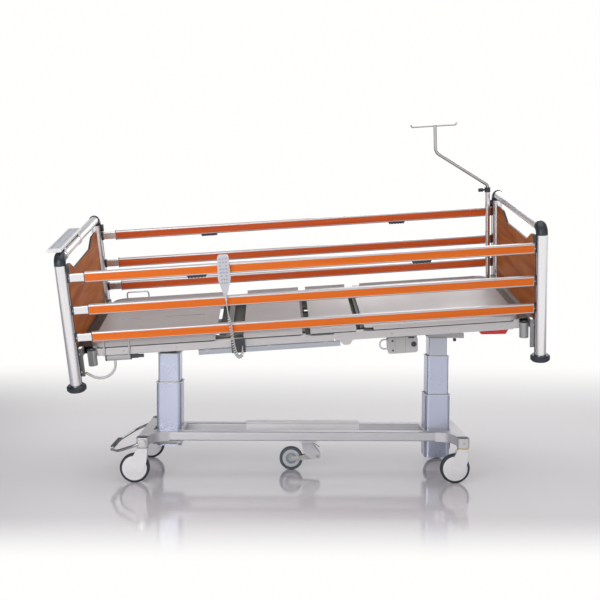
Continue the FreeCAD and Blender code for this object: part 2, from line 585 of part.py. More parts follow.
def stage(centre, length, width, corner, top, height, next_length, next_width, next_corner):
    """One hollow stage of a column, with a floor and a rim that the next stage slides through."""
    bottom = f"{top} - ({height})"
    shell = bar_stock("xy", (bottom, top), span(centre, length), span("0", width), corner)
    hollow = bar_stock("xy", (f"{bottom} + sleeve_wall", top), span(centre, f"{length} - 2 * sleeve_wall"),
                       span("0", f"{width} - 2 * sleeve_wall"), f"{corner} - sleeve_wall")
    rim = bar_stock("xy", reach(top, "rim_height"), span(centre, f"{length} + 2 * rim_lip"),
                    span("0", f"{width} + 2 * rim_lip"), f"{corner} + rim_lip")
    mouth = bar_stock("xy", reach(top, "rim_height"), span(centre, f"{next_length} + 2 * slide_gap"),
                      span("0", f"{next_width} + 2 * slide_gap"), f"{next_corner} + slide_gap")
    return [cut(shell, hollow), cut(rim, mouth)]


def columns():
    """Two three-stage columns: sleeves on the base, middle stages and inner stages."""
    sleeves = []
    for centre, top in (("foot_column_x", "foot_sleeve_top"), ("head_column_x", "head_sleeve_top")):
        sleeves += stage(centre, "sleeve_length", "sleeve_width", "sleeve_corner", top, "sleeve_height",
                         "mid_length", "mid_width", "mid_corner")
    node("column_sleeves", BASE, *sleeves)
    for end in ("foot", "head"):
        node(f"{end}_column_mid", BASE, *stage(
            f"{end}_column_x", "mid_length", "mid_width", "mid_corner", f"{end}_mid_top", "mid_height",
            "inner_length", "inner_width", "inner_corner"))
    inner = [bar_stock("xy", (f"{end}_inner_top - inner_height", f"{end}_inner_top"),
                       span(f"{end}_column_x", "inner_length"), span("0", "inner_width"), "inner_corner")
             for end in ("foot", "head")]

    pivot = ("foot_column_x", "foot_pivot_height")
    ear = slab("xz", ("ear_inner", "ear_outer"), [
        ("foot_column_x - ear_length / 2", "foot_inner_top"), ("foot_column_x + ear_length / 2", "foot_inner_top"),
        ("foot_column_x + bush_diameter * 0.7", "foot_pivot_height + bush_diameter * 0.7"),
        ("foot_column_x - bush_diameter * 0.7", "foot_pivot_height + bush_diameter * 0.7"),
    ], {"bush_diameter * 0.5": [2, 3]})
    hole = rod("y", "pivot_pin_diameter", ("ear_inner", "ear_outer"), pivot)
    pin = rod("y", "pivot_pin_diameter", (minus("ear_outer"), "ear_outer"), pivot)
    node("foot_column_inner", BASE, inner[0], *both_sides(cut(ear, hole)), pin)

    # The head end slides a little as the bed tilts, so its pin runs in a slot.
    floor = box(("carriage_start", "carriage_end"), (minus("ear_outer"), "ear_outer"),
                ("head_inner_top", "carriage_base"))
    play = "pivot_pin_diameter / 2 + slot_play"
    side = slab("xz", ("ear_inner", "ear_outer"), [
        ("carriage_start", "carriage_base"), ("carriage_end", "carriage_base"),
        ("carriage_end", "head_inner_top + carriage_height"),
        ("head_column_x + slot_front + 30", "head_inner_top + carriage_height"),
        ("head_column_x + slot_front + 14", f"head_pivot_height + {play} + 8"),
        ("head_column_x - slot_back - 8", f"head_pivot_height + {play} + 8"),
        ("carriage_start", "head_inner_top + carriage_height"),
    ], {"8": [2, 4, 5]})
    slot = bar_stock("xz", ("ear_inner", "ear_outer"), ("head_column_x - slot_back", "head_column_x + slot_front"),
                     span("head_pivot_height", f"2 * ({play})"), f"{play} - 1")
    knob = rod("y", "carriage_knob_diameter", (minus("ear_outer"), minus("ear_inner")),
               ("carriage_knob_x", "head_inner_top - carriage_knob_diameter / 2"))
    node("head_column_inner", BASE, inner[1], floor, *both_sides(cut(side, slot)), knob)


def tilt_beam():
    """The box beam that joins the columns, bushed at the foot pivot, with the bearings of the roll axis."""
    foot_pivot = ("foot_pivot_x", minus("beam_drop"))
    head_pivot = ("head_pivot_x", minus("beam_drop"))
    half = (minus("tilt_beam_half"), "tilt_beam_half")
    node("pivot_bush", BEAM, tube("y", "bush_diameter", "pivot_pin_diameter + 2 * running_gap", half, foot_pivot))

    beam = bar_stock("xz", half, (minus("tilt_beam_foot"), "tilt_beam_head"),
                     ("tilt_beam_bottom", "tilt_beam_top"), "8")
    hollow = box(("foot_pivot_x + 40", "head_pivot_x - 40"),
                 (f"{half[0]} + tilt_beam_wall", f"{half[1]} - tilt_beam_wall"),
                 ("tilt_beam_bottom + tilt_beam_wall", "tilt_beam_top - tilt_beam_wall"))
    bush_bore = rod("y", "bush_diameter", half, foot_pivot)
    pin_bore = rod("y", "pivot_pin_diameter", half, head_pivot)
    pin = rod("y", "pivot_pin_diameter", (minus("ear_outer"), "ear_outer"), head_pivot)
    bearings = []
    for sign in ("-1", "1"):
        middle = f"{sign} * bearing_x"
        gap = "bearing_length / 2 + side_gap"
        for way in ("-1", "1"):
            centre = f"{middle} + {way} * ({gap} + bearing_block / 2)"
            block = slab("yz", span(centre, "bearing_block"),
                         rectangle(span("0", "bearing_diameter"), ("tilt_beam_top", "bearing_diameter / 2")),
                         {"bearing_diameter * 0.45": [2, 3]})
            bearings.append(cut(block, rod("x", "bearing_shaft_diameter", span(centre, "bearing_block"), ("0", "0"))))
        bearings.append(rod("x", "bearing_shaft_diameter", span(middle, f"2 * ({gap} + bearing_block)"), ("0", "0")))
    outrigger_bottom = "tilt_beam_top - outrigger_height"
    arm = box(span(minus("roll_actuator_x"), "outrigger_width"), ("tilt_beam_half", "outrigger_reach"),
              (outrigger_bottom, "tilt_beam_top"))
    wrap = "roll_actuator_y - roll_actuator_diameter / 2 + saddle_wrap"
    saddle = box(span(minus("roll_actuator_x"), "outrigger_width"), (f"{wrap} - saddle_depth", wrap),
                 (f"{outrigger_bottom} - saddle_height", outrigger_bottom))
    seat = rod("z", "roll_actuator_diameter", (f"{outrigger_bottom} - saddle_height", outrigger_bottom),
               (minus("roll_actuator_x"), "roll_actuator_y"))
    node("tilt_beam", BEAM, cut(beam, hollow, bush_bore, pin_bore), pin, *bearings, arm, cut(saddle, seat))


def roll_actuator():
    """The upright actuator that rolls the platform: its rod pin works in a slotted bracket."""
    at = (minus("roll_actuator_x"), "roll_actuator_y")
    top = "roll_actuator_top"
    bottom = "roll_actuator_top - roll_actuator_length"
    body = rod("z", "roll_actuator_diameter", (bottom, top), at)
    bore = rod("z", "roll_rod_diameter + 2 * running_gap", (f"{bottom} + 6", top), at)
    node("lateral_actuator", BEAM, cut(body, bore))
    stem = rod("z", "roll_rod_diameter", ("roll_rod_rise - roll_rod_length", "roll_rod_rise - roll_rod_diameter / 2"), at)
    eye = rod("x", "roll_rod_diameter", span(at[0], "roll_rod_diameter - 4"), (at[1], "roll_rod_rise"))
    pin_at = (at[1], "roll_rod_rise")
    pin_length = "roll_rod_diameter + 2 * (side_gap + lever_thickness)"
    pin = rod("x", "actuator_pin_diameter", span(at[0], pin_length), pin_at)
    eye_cut = rod("x", "roll_rod_diameter", span(at[0], "roll_rod_diameter + 2"), pin_at)
    node("lateral_actuator_rod", BEAM, cut(stem, eye_cut), cut(eye, pin_tool(at[0], pin_at)), pin)


def pin_tool(x, at):
    return rod("x", "actuator_pin_diameter", span(x, "roll_rod_diameter + 20"), at)


def platform_frame():
    """The rolled frame under the deck: side rails, cross rails, bearings and hinge pins."""
    rail_y = ("frame_inner", "frame_half")
    foot_rail = hollow_bar("x", (minus("frame_foot"), "narrow_start"), rail_y, ("frame_bottom", "frame_top"),
                           "5", "frame_wall")
    narrow = box(("narrow_start", "narrow_end"), ("frame_inner + narrow_inset", "frame_half - narrow_inset"),
                 ("frame_bottom", "frame_top - 2 * narrow_inset"))
    head_rail = slab("xz", rail_y, rectangle(("narrow_end", "frame_head"), ("frame_bottom", "frame_top")),
                     {"frame_height * 0.45": [0], "frame_height * 0.2": [3]})
    head_rail = cut(head_rail, box(("narrow_end + frame_height / 2", "frame_head"),
                                   ("frame_inner + frame_wall", "frame_half - frame_wall"),
                                   ("frame_bottom + frame_wall", "frame_top - frame_wall")))
    boss = slab("xz", ("frame_inner + 2", "frame_half - 2"), [
        ("boss_x - boss_diameter / 2", "frame_bottom"), ("boss_x - boss_diameter / 2", "frame_bottom - 6"),
        ("boss_x - boss_diameter * 0.25", "frame_bottom - boss_diameter * 0.42"),
        ("boss_x + boss_diameter * 0.25", "frame_bottom - boss_diameter * 0.42"),
        ("boss_x + boss_diameter / 2", "frame_bottom - 6"), ("boss_x + boss_diameter / 2", "frame_bottom"),
    ], {"boss_diameter * 0.2": [2, 3]})
    corners = []
    for x, socket_x in (((minus("end_rail_inner"), minus("frame_foot")), minus("socket_foot_x")),
                        (("frame_head", "end_rail_inner"), "socket_head_x")):
        block = box(x, ("frame_inner - corner_block_inset", "frame_half"),
                    ("corner_block_top - corner_block_height", "corner_block_top"))
        socket = rod("z", "socket_diameter", ("socket_bottom", "corner_block_top"), (socket_x, "socket_y"))
        corners.append(cut(block, socket))
    end_rail = hollow_bar("y", (minus("end_rail_half"), "end_rail_half"), ("end_rail_inner", "end_rail_outer"),
                          ("end_rail_top - end_rail_height", "end_rail_top"), "4", "frame_wall")
    across = (minus("frame_inner"), "frame_inner")
    level = ("frame_bottom", "frame_top")
    pieces = both_sides(foot_rail, narrow, head_rail, boss, *corners) + both_ends(end_rail)
    for sign in ("-1", "1"):
        middle = f"{sign} * bearing_x"
        pieces.append(hollow_bar("y", across, span(middle, "cross_width"), level, "4", "frame_wall"))
        ring = tube("x", "bearing_diameter", "bearing_shaft_diameter + 2 * running_gap",
                    span(middle, "bearing_length"), ("0", minus("deck_rise")))
        web = box(span(middle, "bearing_length"), span("0", "bearing_diameter * 0.6"),
                  (minus("deck_rise"), "frame_bottom"))
        round_seat = rod("x", "bearing_diameter", span(middle, "bearing_length"), ("0", minus("deck_rise")))
        pieces += [ring, cut(web, round_seat)]
    pieces.append(hollow_bar("y", across, span(minus("roll_actuator_x"), "cross_width"), level, "4", "frame_wall"))
    slot_y = "roll_actuator_y + 4"
    slot_z = "10 - deck_rise"
    plate_inner = "roll_rod_diameter / 2 + side_gap"
    for way in ("-1", "1"):
        centre = f"0 - roll_actuator_x + {way} * ({plate_inner} + lever_thickness / 2)"
        plate = slab("yz", span(centre, "lever_thickness"), [
            (f"{slot_y} - 34", "frame_bottom"), (f"{slot_y} - 22", f"{slot_z} - 16"),
            (f"{slot_y} + 22", f"{slot_z} - 16"), (f"{slot_y} + 34", "frame_bottom"),
        ], {"10": [1, 2]})
        slot = bar_stock("yz", span(centre, "lever_thickness"), span(slot_y, "actuator_pin_diameter + 12"),
                         span(slot_z, "actuator_pin_diameter + 3"), "5")
        pieces.append(cut(plate, slot))
    eye = slab("xz", reach("frame_inner", "lever_thickness"), [
        ("release_pivot_x - 20", "frame_bottom"), ("release_pivot_x - 10", "release_height - 12"),
        ("release_pivot_x + 10", "release_height - 12"), ("release_pivot_x + 20", "frame_bottom"),
    ], {"6": [1, 2]})
    pieces += both_sides(cut(eye, rod("y", "release_shaft_diameter + 2 * running_gap",
                                      reach("frame_inner", "lever_thickness"),
                                      ("release_pivot_x", "release_height"))))
    for hinge_x in ("thigh_hinge_x", "back_hinge_x"):
        pieces += both_sides(rod("y", "hinge_diameter", ("arm_inner + side_gap", "frame_inner"), (hinge_x, "hinge_height")))
    pieces.append(box(("socket_block_start", "socket_block_end"),
                      (minus("frame_half + socket_block_depth"), minus("frame_half")),
                      ("socket_block_bottom", "socket_block_top")))
    node("platform_frame", PLATFORM, *pieces)


def corner_fittings():
    """Open sockets for poles at the four corners, and the plates that hold the end boards."""
    fittings = []
    for socket_x, sign in ((minus("socket_foot_x"), "-1"), ("socket_head_x", "1")):
        fittings += both_sides(tube("z", "socket_diameter", "socket_bore", ("socket_bottom", "socket_top"),
                                    (socket_x, "socket_y")))
    side = box(("plate_start", "plate_end"), ("plate_outer - plate_thickness", "plate_outer"),
               ("plate_bottom", "plate_top"))
    link = box(reach("plate_start", "plate_thickness - 1"), ("end_rail_half", "plate_outer - plate_thickness"),
               ("end_rail_top - end_rail_height", "end_rail_top"))
    for piece in (side, link):
        fittings += both_sides(*both_ends(piece))
    node("corner_fittings", PLATFORM, *fittings)


def accessory_rails():
    """A flat rail under each side rail, for hanging accessories on."""
    y = ("frame_half - accessory_thickness - 2", "frame_half - 2")
    top = "frame_bottom - accessory_gap"
    bar = bar_stock("xz", y, ("accessory_start", "accessory_end"), (f"{top} - accessory_height", top), "2.5")
    pieces = [bar]
    for share in ("0.06", "0.5", "0.9"):
        centre = f"accessory_start + {share} * (accessory_end - accessory_start)"
        pieces.append(box(span(centre, "20"), y, (top, "frame_bottom")))
    node("accessory_rails", PLATFORM, *both_sides(*pieces))


def deck_sheet(start, end, rounds=None):
    """A flat panel between the side lips."""
    return slab("xy", (minus("deck_sheet"), "0"),
                rectangle((start, end), (minus("deck_half"), "deck_half")), rounds)


def deck_lip(start, end):
    """The turned edge along one side of a panel."""
    return box((start, end), ("deck_half", "deck_half + deck_sheet"), ("lip_bottom", "lip_top"))


def stiffener(x):
    """A channel across the underside of a panel."""
    return box(span(x, "stiffener_width"), (minus("stiffener_half"), "stiffener_half"),
               ("0 - deck_sheet - stiffener_height", minus("deck_sheet")))


def hinge_arm(points, rounds, eyes, inner="arm_inner", outer="hinge_arm_outer"):
    """A flat arm under a panel, drilled for the pins that it turns on."""
    plate = slab("xz", (inner, outer), points, rounds)
    holes = [rod("y", "hinge_diameter + 2 * running_gap", (inner, outer), eye) for eye in eyes]
    return cut(plate, *holes)


def seat_panel():
    """The fixed panel, on two posts over the side rails."""
    rest = box(("narrow_end + 20", "seat_end - 20"), ("frame_inner + 8", "frame_half - 8"), ("frame_top", minus("deck_sheet")))
    front = box(("seat_start + 20", "narrow_end - 10"), ("frame_inner + 8", "frame_half - 8"),
                ("frame_top - 2 * narrow_inset", minus("deck_sheet")))
    node("seat_panel", PLATFORM, deck_sheet("seat_start", "seat_end"),
         *both_sides(deck_lip("seat_start", "seat_end"), rest, front))


def thigh_section():
    """The panel that lifts the knees, with the axle that carries the foot section."""
    low = "hinge_height - hinge_diameter"
    arm = hinge_arm([
        ("thigh_hinge_x + 14", low), ("thigh_hinge_x + 14", "hinge_height + 14"), ("thigh_end - 8", minus("deck_sheet")),
        ("thigh_start + 6", minus("deck_sheet")), ("knee_x - 14", "hinge_height + 14"), ("knee_x - 14", low),
    ], {"10": [0, 1, 4, 5]}, [("thigh_hinge_x", "hinge_height")])
    knee_hole = rod("y", "hinge_diameter", ("arm_inner", "hinge_arm_outer"), ("knee_x", "hinge_height"))
    knee_pin = rod("y", "hinge_diameter", ("arm_inner", "hinge_arm_outer + hinge_arm + 2"), ("knee_x", "hinge_height"))
    bar = bar_stock("xz", (minus("arm_inner"), "arm_inner"), ("knee_bar_start", "knee_bar_end"),
                    ("hinge_height - 14", "hinge_height + 14"), "4")
    lever = lever_plates("thigh_hinge_x", "thigh_pin_x", "thigh_pin_z", "thigh_actuator_y")
    tie = box(span("thigh_hinge_x", "18"), (minus("arm_inner"), "arm_inner"), span("hinge_height", "12"))
    post = box(span("thigh_start + 40", "stiffener_width"), ("stiffener_half", "arm_inner"),
               ("0 - deck_sheet - stiffener_height", minus("deck_sheet")))
    node("thigh_section", PLATFORM, deck_sheet("thigh_start", "thigh_end"),
         *both_sides(deck_lip("thigh_start", "thigh_end"), cut(arm, knee_hole), knee_pin, post), bar,
         stiffener("thigh_start + 40"), tie, *lever)


def lever_plates(hinge_x, pin_x, pin_z, y):
    """Two plates that hang from a section's tie bar, with a pin across their tips."""
    inner = "actuator_rod_diameter / 2 + side_gap"
    plates = []
    for way in ("-1", "1"):
        middle = f"{y} + {way} * ({inner} + lever_thickness / 2)"
        plate = slab("xz", span(middle, "lever_thickness"), [
            (f"{hinge_x} - 12", "hinge_height - 6"), (f"{pin_x} - 11", f"{pin_z} - 11"),
            (f"{pin_x} + 11", f"{pin_z} - 11"), (f"{hinge_x} + 12", "hinge_height - 6"),
        ], {"9": [1, 2]})
        plates.append(cut(plate, rod("y", "actuator_pin_diameter", span(middle, "lever_thickness"), (pin_x, pin_z))))
    plates.append(rod("y", "actuator_pin_diameter", span(y, f"2 * ({inner} + lever_thickness)"), (pin_x, pin_z)))
    return plates


def back_section():
    """The long panel behind the back, on two arms that turn on the side rails."""
    arm = hinge_arm([
        ("back_hinge_x - 14", "hinge_height - hinge_diameter"), ("back_hinge_x - 14", "hinge_height + 14"),
        ("back_start + 8", minus("deck_sheet")), ("back_end - 250", minus("deck_sheet")),
        ("back_end - 290", minus("arm_depth")), ("back_hinge_x + 140", minus("arm_depth")),
        ("back_hinge_x + 40", "hinge_height - hinge_diameter"),
    ], {"10": [0, 1]}, [("back_hinge_x", "hinge_height")])
    tie = box(span("back_hinge_x", "18"), (minus("arm_inner"), "arm_inner"), span("hinge_height", "12"))
    lever = lever_plates("back_hinge_x", "back_pin_x", "back_pin_z", "back_actuator_y")
    cross = [stiffener(x) for x in ("back_start + 110", "back_end - 330", "back_end - 60")]
    node("back_section", PLATFORM, deck_sheet("back_start", "back_end", {"deck_corner": [1, 2]}),
         *both_sides(deck_lip("lip_start", "back_end - deck_corner"), arm), tie, *cross, *lever)


def foot_section():
    """The slotted panel under the lower legs, linked at the knee axle."""
    sheet_solid = deck_sheet("foot_start", "foot_end", {"deck_corner": [0, 3]})
    slots = []
    for place in ("toe", "shin", "calf"):
        slots.append(box((f"{place}_slot_start", f"{place}_slot_end"), span("deck_slot_y", "deck_slot_width"),
                         (minus("deck_sheet"), "0")))
    arm = hinge_arm([
        ("knee_x + 14", "hinge_height - hinge_diameter"), ("knee_x + 14", "hinge_height + 12"),
        ("foot_end - 4", minus("deck_sheet")), ("foot_end - 210", minus("deck_sheet")),
        ("foot_end - 190", minus("arm_depth")), ("knee_x - 110", minus("arm_depth")),
        ("knee_x - 30", "hinge_height - hinge_diameter"),
    ], {"10": [0, 1]}, [("knee_x", "hinge_height")], "hinge_arm_outer + side_gap", "hinge_arm_outer + hinge_arm")
    cross = [stiffener(x) for x in ("foot_end - 80", "foot_start + 70")]
    node("foot_section", PLATFORM, cut(sheet_solid, *slots),
         *both_sides(deck_lip("foot_start + deck_corner", "foot_end"), arm), *cross)


def retainer_loops():
    """Bent wire loops that stop the mattress from sliding, hooked over the lips."""
    y = "deck_half + deck_sheet + retainer_wire / 2"
    hook = f"{y} - 2"
    route = [
        ("retainer_start - 6", hook, "retainer_bottom"), ("retainer_start", y, "retainer_bottom + 26"),
        ("retainer_start", y, "retainer_top"), ("retainer_end", y, "retainer_top"),
        ("retainer_end", y, "retainer_bottom + 26"), ("retainer_end - 6", hook, "retainer_bottom"),
    ]
    bend = value("retainer_bend")
    loop = bent_bar("retainer_wire", route, [bend, bend, bend, bend])
    node("retainer_loops", PLATFORM, *both_sides(loop))


def slotted_eye(pin_x, pin_z, rod_z, y, back):
    """The flat end of an actuator rod, with an upright slot for the lever's pin."""
    slack = "actuator_pin_diameter / 2 + fork_slot_play"
    tall = f"2 * ({slack}) + 2 * abs(({rod_z}) - ({pin_z}))"
    thick = span(y, "actuator_rod_diameter")
    near, far = f"{pin_x} - ({slack}) - 7", f"{pin_x} + ({slack}) + 7"
    plate = bar_stock("xz", thick, (near, far), span(rod_z, f"{tall} + 14"), "5")
    slot = bar_stock("xz", thick, span(pin_x, f"2 * ({slack})"), span(rod_z, tall), f"({slack}) - 1")
    return cut(plate, slot), (far if back > 0 else near)


def section_actuators():
    """Spindle actuators under the platform: a tube with a motor, and a rod that pulls a lever."""
    y = "back_actuator_y"
    eye, joint = slotted_eye("back_pin_x", "back_pin_z", "back_rod_z", y, 1)
    stroke = "2 * back_lever * sin(back_lean)"
    tail = "back_actuator_start + 10"
    spindle = rod("x", "actuator_rod_diameter", (joint, tail), (y, "back_rod_z"))
    node("back_actuator_rod", PLATFORM, eye, spindle)
    tube_x = ("back_actuator_start - 34", "back_actuator_end - 10")
    barrel = rod("x", "actuator_tube_diameter", tube_x, (y, "back_rod_z"))
    bore = rod("x", "actuator_rod_diameter + 2 * running_gap", (tube_x[0], f"{tail} + {stroke} + 4"), (y, "back_rod_z"))
    motor_top = "back_rod_z - actuator_tube_diameter / 2"
    motor = bar_stock("xz", span(y, "motor_width"), ("back_actuator_start", "back_actuator_end"),
                      (f"back_rod_z - motor_drop", motor_top), "14")
    clevis = box(span("bearing_x", "30"), span(y, "actuator_tube_diameter * 0.6"), ("back_rod_z", "frame_bottom"))
    node("back_actuator", PLATFORM, cut(barrel, bore), motor, cut(clevis, rod(
        "x", "actuator_tube_diameter", tube_x, (y, "back_rod_z"))))

    y = "thigh_actuator_y"
    eye, joint = slotted_eye("thigh_pin_x", "thigh_pin_z", "thigh_rod_z", y, -1)
    stroke = "2 * thigh_lever * sin(thigh_lean)"
    tail = "thigh_actuator_end - 40"
    spindle = rod("x", "actuator_rod_diameter", (tail, joint), (y, "thigh_rod_z"))
    node("thigh_actuator_rod", PLATFORM, eye, spindle)
    tube_x = ("0 - bearing_x - cross_width / 2", "thigh_actuator_end")
    barrel = rod("x", "actuator_tube_diameter", tube_x, (y, "thigh_rod_z"))
    bore = rod("x", "actuator_rod_diameter + 2 * running_gap", (f"{tail} - {stroke} - 4", tube_x[1]), (y, "thigh_rod_z"))
    motor = bar_stock("yz", ("thigh_actuator_start", "thigh_actuator_start + 120"),
                      reach(f"{y} + actuator_tube_diameter / 2", "motor_width"),
                      span("thigh_rod_z", "motor_width"), "12")
    clevis = box(span("0 - bearing_x", "30"), span(y, "actuator_tube_diameter * 0.6"), ("thigh_rod_z", "frame_bottom"))
    node("thigh_actuator", PLATFORM, cut(barrel, bore), motor, cut(clevis, rod(
        "x", "actuator_tube_diameter", tube_x, (y, "thigh_rod_z"))))


def foot_actuator():
    """The small motor at the foot end and the cable that loops from it to the corner plate."""
    z = "frame_bottom - foot_motor_diameter / 2"
    at = ("foot_motor_y", z)
    body = rod("x", "foot_motor_diameter", ("foot_motor_start", "foot_motor_end"), at)
    collar = rod("x", "foot_motor_collar_diameter", reach("foot_motor_end", "foot_motor_collar"), at)
    tip = rod("x", "foot_motor_tip_diameter", ("foot_motor_end + foot_motor_collar", "foot_motor_tip"), at)
    node("foot_actuator", PLATFORM, body, collar, tip)
    exit_z = "frame_bottom - foot_motor_diameter"
    route = [("-950", "foot_motor_y", exit_z), ("-949", "-375", "-112"), ("-957", "-384", "-140"),
             ("-980", "-392", "-162"), ("-1014", "-398", "-172"), ("-1048", "-404", "-165"),
             ("-1073", "-408", "-148"), ("0 - plate_start", "-412", "plate_bottom + 12")]
    radii = cord_radii(route)
    cable = bent_bar("cable_diameter", route, radii)
    node("panel_cable", PLATFORM, cut(cable, body))


def cord_radii(route):
    """Arc radii as large as the runs on both sides allow."""
    corners = [point(place) for place in route]
    radii = []
    for before, corner, after in zip(corners, corners[1:], corners[2:]):
        shorter = min((before - corner).Length, (after - corner).Length)
        turn = (corner - before).getAngle(after - corner)
        radii.append(0.45 * shorter / tan(turn / 2))
    print("arc radii", [round(radius, 1) for radius in radii])
    return radii


def end_boards():
    """Corner posts with bumpers and elbows, the bars across them and the boards between."""
    x, y = "post_x", "post_y"
    post = rod("z", "post_diameter", ("post_bottom", "post_top"), (x, y))
    channel = box(("post_inner - 1", "post_inner + channel_depth"), span(y, "channel_width"),
                  ("post_bottom + 6", "post_top - 10"))
    bar = rod("y", "bar_diameter", (minus("bar_half"), "bar_half"), (x, "bar_height"))
    node("end_board_posts", PLATFORM, *both_sides(*both_ends(cut(post, channel))), *both_ends(bar))

    bumper = bumper_body("post_bottom - bumper_height", "post_bottom")
    node("corner_bumpers", PLATFORM, *both_sides(*both_ends(bumper)))

    elbow = doc.addObject("Part::Torus", "elbow")
    elbow.setExpression("Radius1", bound("post_y - bar_half"))
    elbow.setExpression("Radius2", bound("elbow_diameter / 2"))
    elbow.Angle3 = 90
    elbow.setExpression("Placement", bound(
        "placement(vector(post_x; bar_half; post_top); rotation(vector(1; 1; 1); 120))"))
    node("corner_elbows", PLATFORM, *both_sides(*both_ends(elbow)))

    half = [("board_half", "board_bottom"), ("board_half", "board_shoulder"),
            ("board_shoulder_half", "board_shoulder"), ("board_dip_half", "board_dip")]
    outline = half + [(minus(across), up) for across, up in reversed(half)]
    board = slab("yz", span(x, "board_thickness"), outline, {"board_bend": [2, 3, 4, 5], "12": [1, 6]})
    node("end_board_panels", PLATFORM, *both_ends(board))


def bumper_body(bottom, top):
    """A rubber bumper with rounded rims, under a corner post."""
    rim = "bumper_diameter / 2"
    return turned("z", ("post_x", "post_y"), [
        ("0", bottom), (f"{rim} - bumper_round", bottom), (rim, f"{bottom} + bumper_round"),
        (rim, f"{top} - bumper_round"), (f"{rim} - bumper_round", top), ("0", top),
    ])


def guard_rails():
    """Three telescopic rails on each side, with a strip on both faces and tongues that slide in the posts."""
    heights = {"upper": "upper_rail", "middle": "middle_rail", "lower": "lower_rail"}
    for level, height in heights.items():
        bottom, top = span(height, "rail_height")
        strip_low, strip_high = span(height, "strip_height")
        inner, outer = span("post_y", "rail_depth")
        groove = "strip_depth"
        profile = slab("yz", ("rail_start", "rail_end"), [
            (outer, bottom), (outer, strip_low), (f"{outer} - {groove}", strip_low),
            (f"{outer} - {groove}", strip_high), (outer, strip_high), (outer, top),
            (inner, top), (inner, strip_high), (f"{inner} + {groove}", strip_high),
            (f"{inner} + {groove}", strip_low), (inner, strip_low), (inner, bottom),
        ], {"rail_round": [0, 5, 6, 11]})
        hollow = box(("rail_start", "rail_end"),
                     span("post_y", "rail_depth - 2 * (rail_wall + strip_depth)"),
                     span(height, "rail_height - 4 * rail_wall"))
        along = ("rail_start + strip_inset", "rail_end - strip_inset")
        upright = (strip_low, strip_high)
        strips = [box(along, (f"{outer} - {groove}", f"{outer} + strip_proud"), upright),
                  box(along, (f"{inner} - strip_proud", f"{inner} + {groove}"), upright)]
        lip = "2 * rail_cap_lip"
        cap = box(("rail_start - rail_cap", "rail_start"), span("post_y", f"rail_depth + {lip}"),
                  span(height, f"rail_height + {lip}"))
        insert = bar_stock("yz", (minus("rail_end"), "rail_start - rail_cap"), span("post_y", "insert_depth"),
                           span(height, "insert_height"), "3")
        bracket = box(("rail_end", "post_inner - slider_play"), span("post_y", "bracket_depth"),
                      span(height, "bracket_height"))
        tongue = box(("post_inner - slider_play", "post_inner + channel_depth - 2 * slider_play"),
                     span("post_y", "channel_width - 2 * slider_play"), span(height, "insert_height"))
        solids = [cut(profile, hollow), *strips, cap, insert, *both_ends(bracket, tongue)]
        node(f"guard_rail_far_{level}", PLATFORM, *solids)
        node(f"guard_rail_near_{level}", PLATFORM, *[mirrored(solid) for solid in solids])


def release_catches():
    """The ribbed grips under the upper rails that let them down."""
    top = "upper_rail - rail_height / 2 - seat_gap"
    for end in ("foot", "head"):
        centre = f"{end}_catch_x"
        start, stop = span(centre, "catch_length")
        outline = [(start, top), (f"{start} + 6", f"{top} - catch_height")]
        for rib in range(1, 6):
            middle = f"{start} + catch_length * {rib} / 6"
            outline += [(f"{middle} - catch_rib", f"{top} - catch_height"), (middle, f"{top} - catch_height + catch_rib"),
                        (f"{middle} + catch_rib", f"{top} - catch_height")]
        outline += [(f"{stop} - 6", f"{top} - catch_height"), (stop, top)]
        grip = slab("xz", span("post_y", "catch_depth"), outline)
        node(f"release_catch_far_{end}", PLATFORM, grip)
        node(f"release_catch_near_{end}", PLATFORM, mirrored(grip))


def attendant_panel():
    """The control panel on the foot end bar, on two clamps."""
    x = (minus("panel_outer"), minus("panel_inner"))
    panel = slab("xz", ("panel_near", "panel_far"),
                 rectangle(x, ("panel_bottom", "panel_bottom + panel_thickness")), {"5": [0, 1, 2, 3]})
    pieces = [panel]
    bar_at = (minus("post_x"), "bar_height")
    for y in ("clamp_near_y", "clamp_far_y"):
        block = box(span(bar_at[0], "clamp_width * 0.7"), span(y, "clamp_length"), ("bar_height", "panel_bottom"))
        seat = rod("y", "bar_diameter + 2 * seat_gap", span(y, "clamp_length"), bar_at)
        pieces.append(cut(block, seat))
    node("attendant_panel", PLATFORM, *pieces)


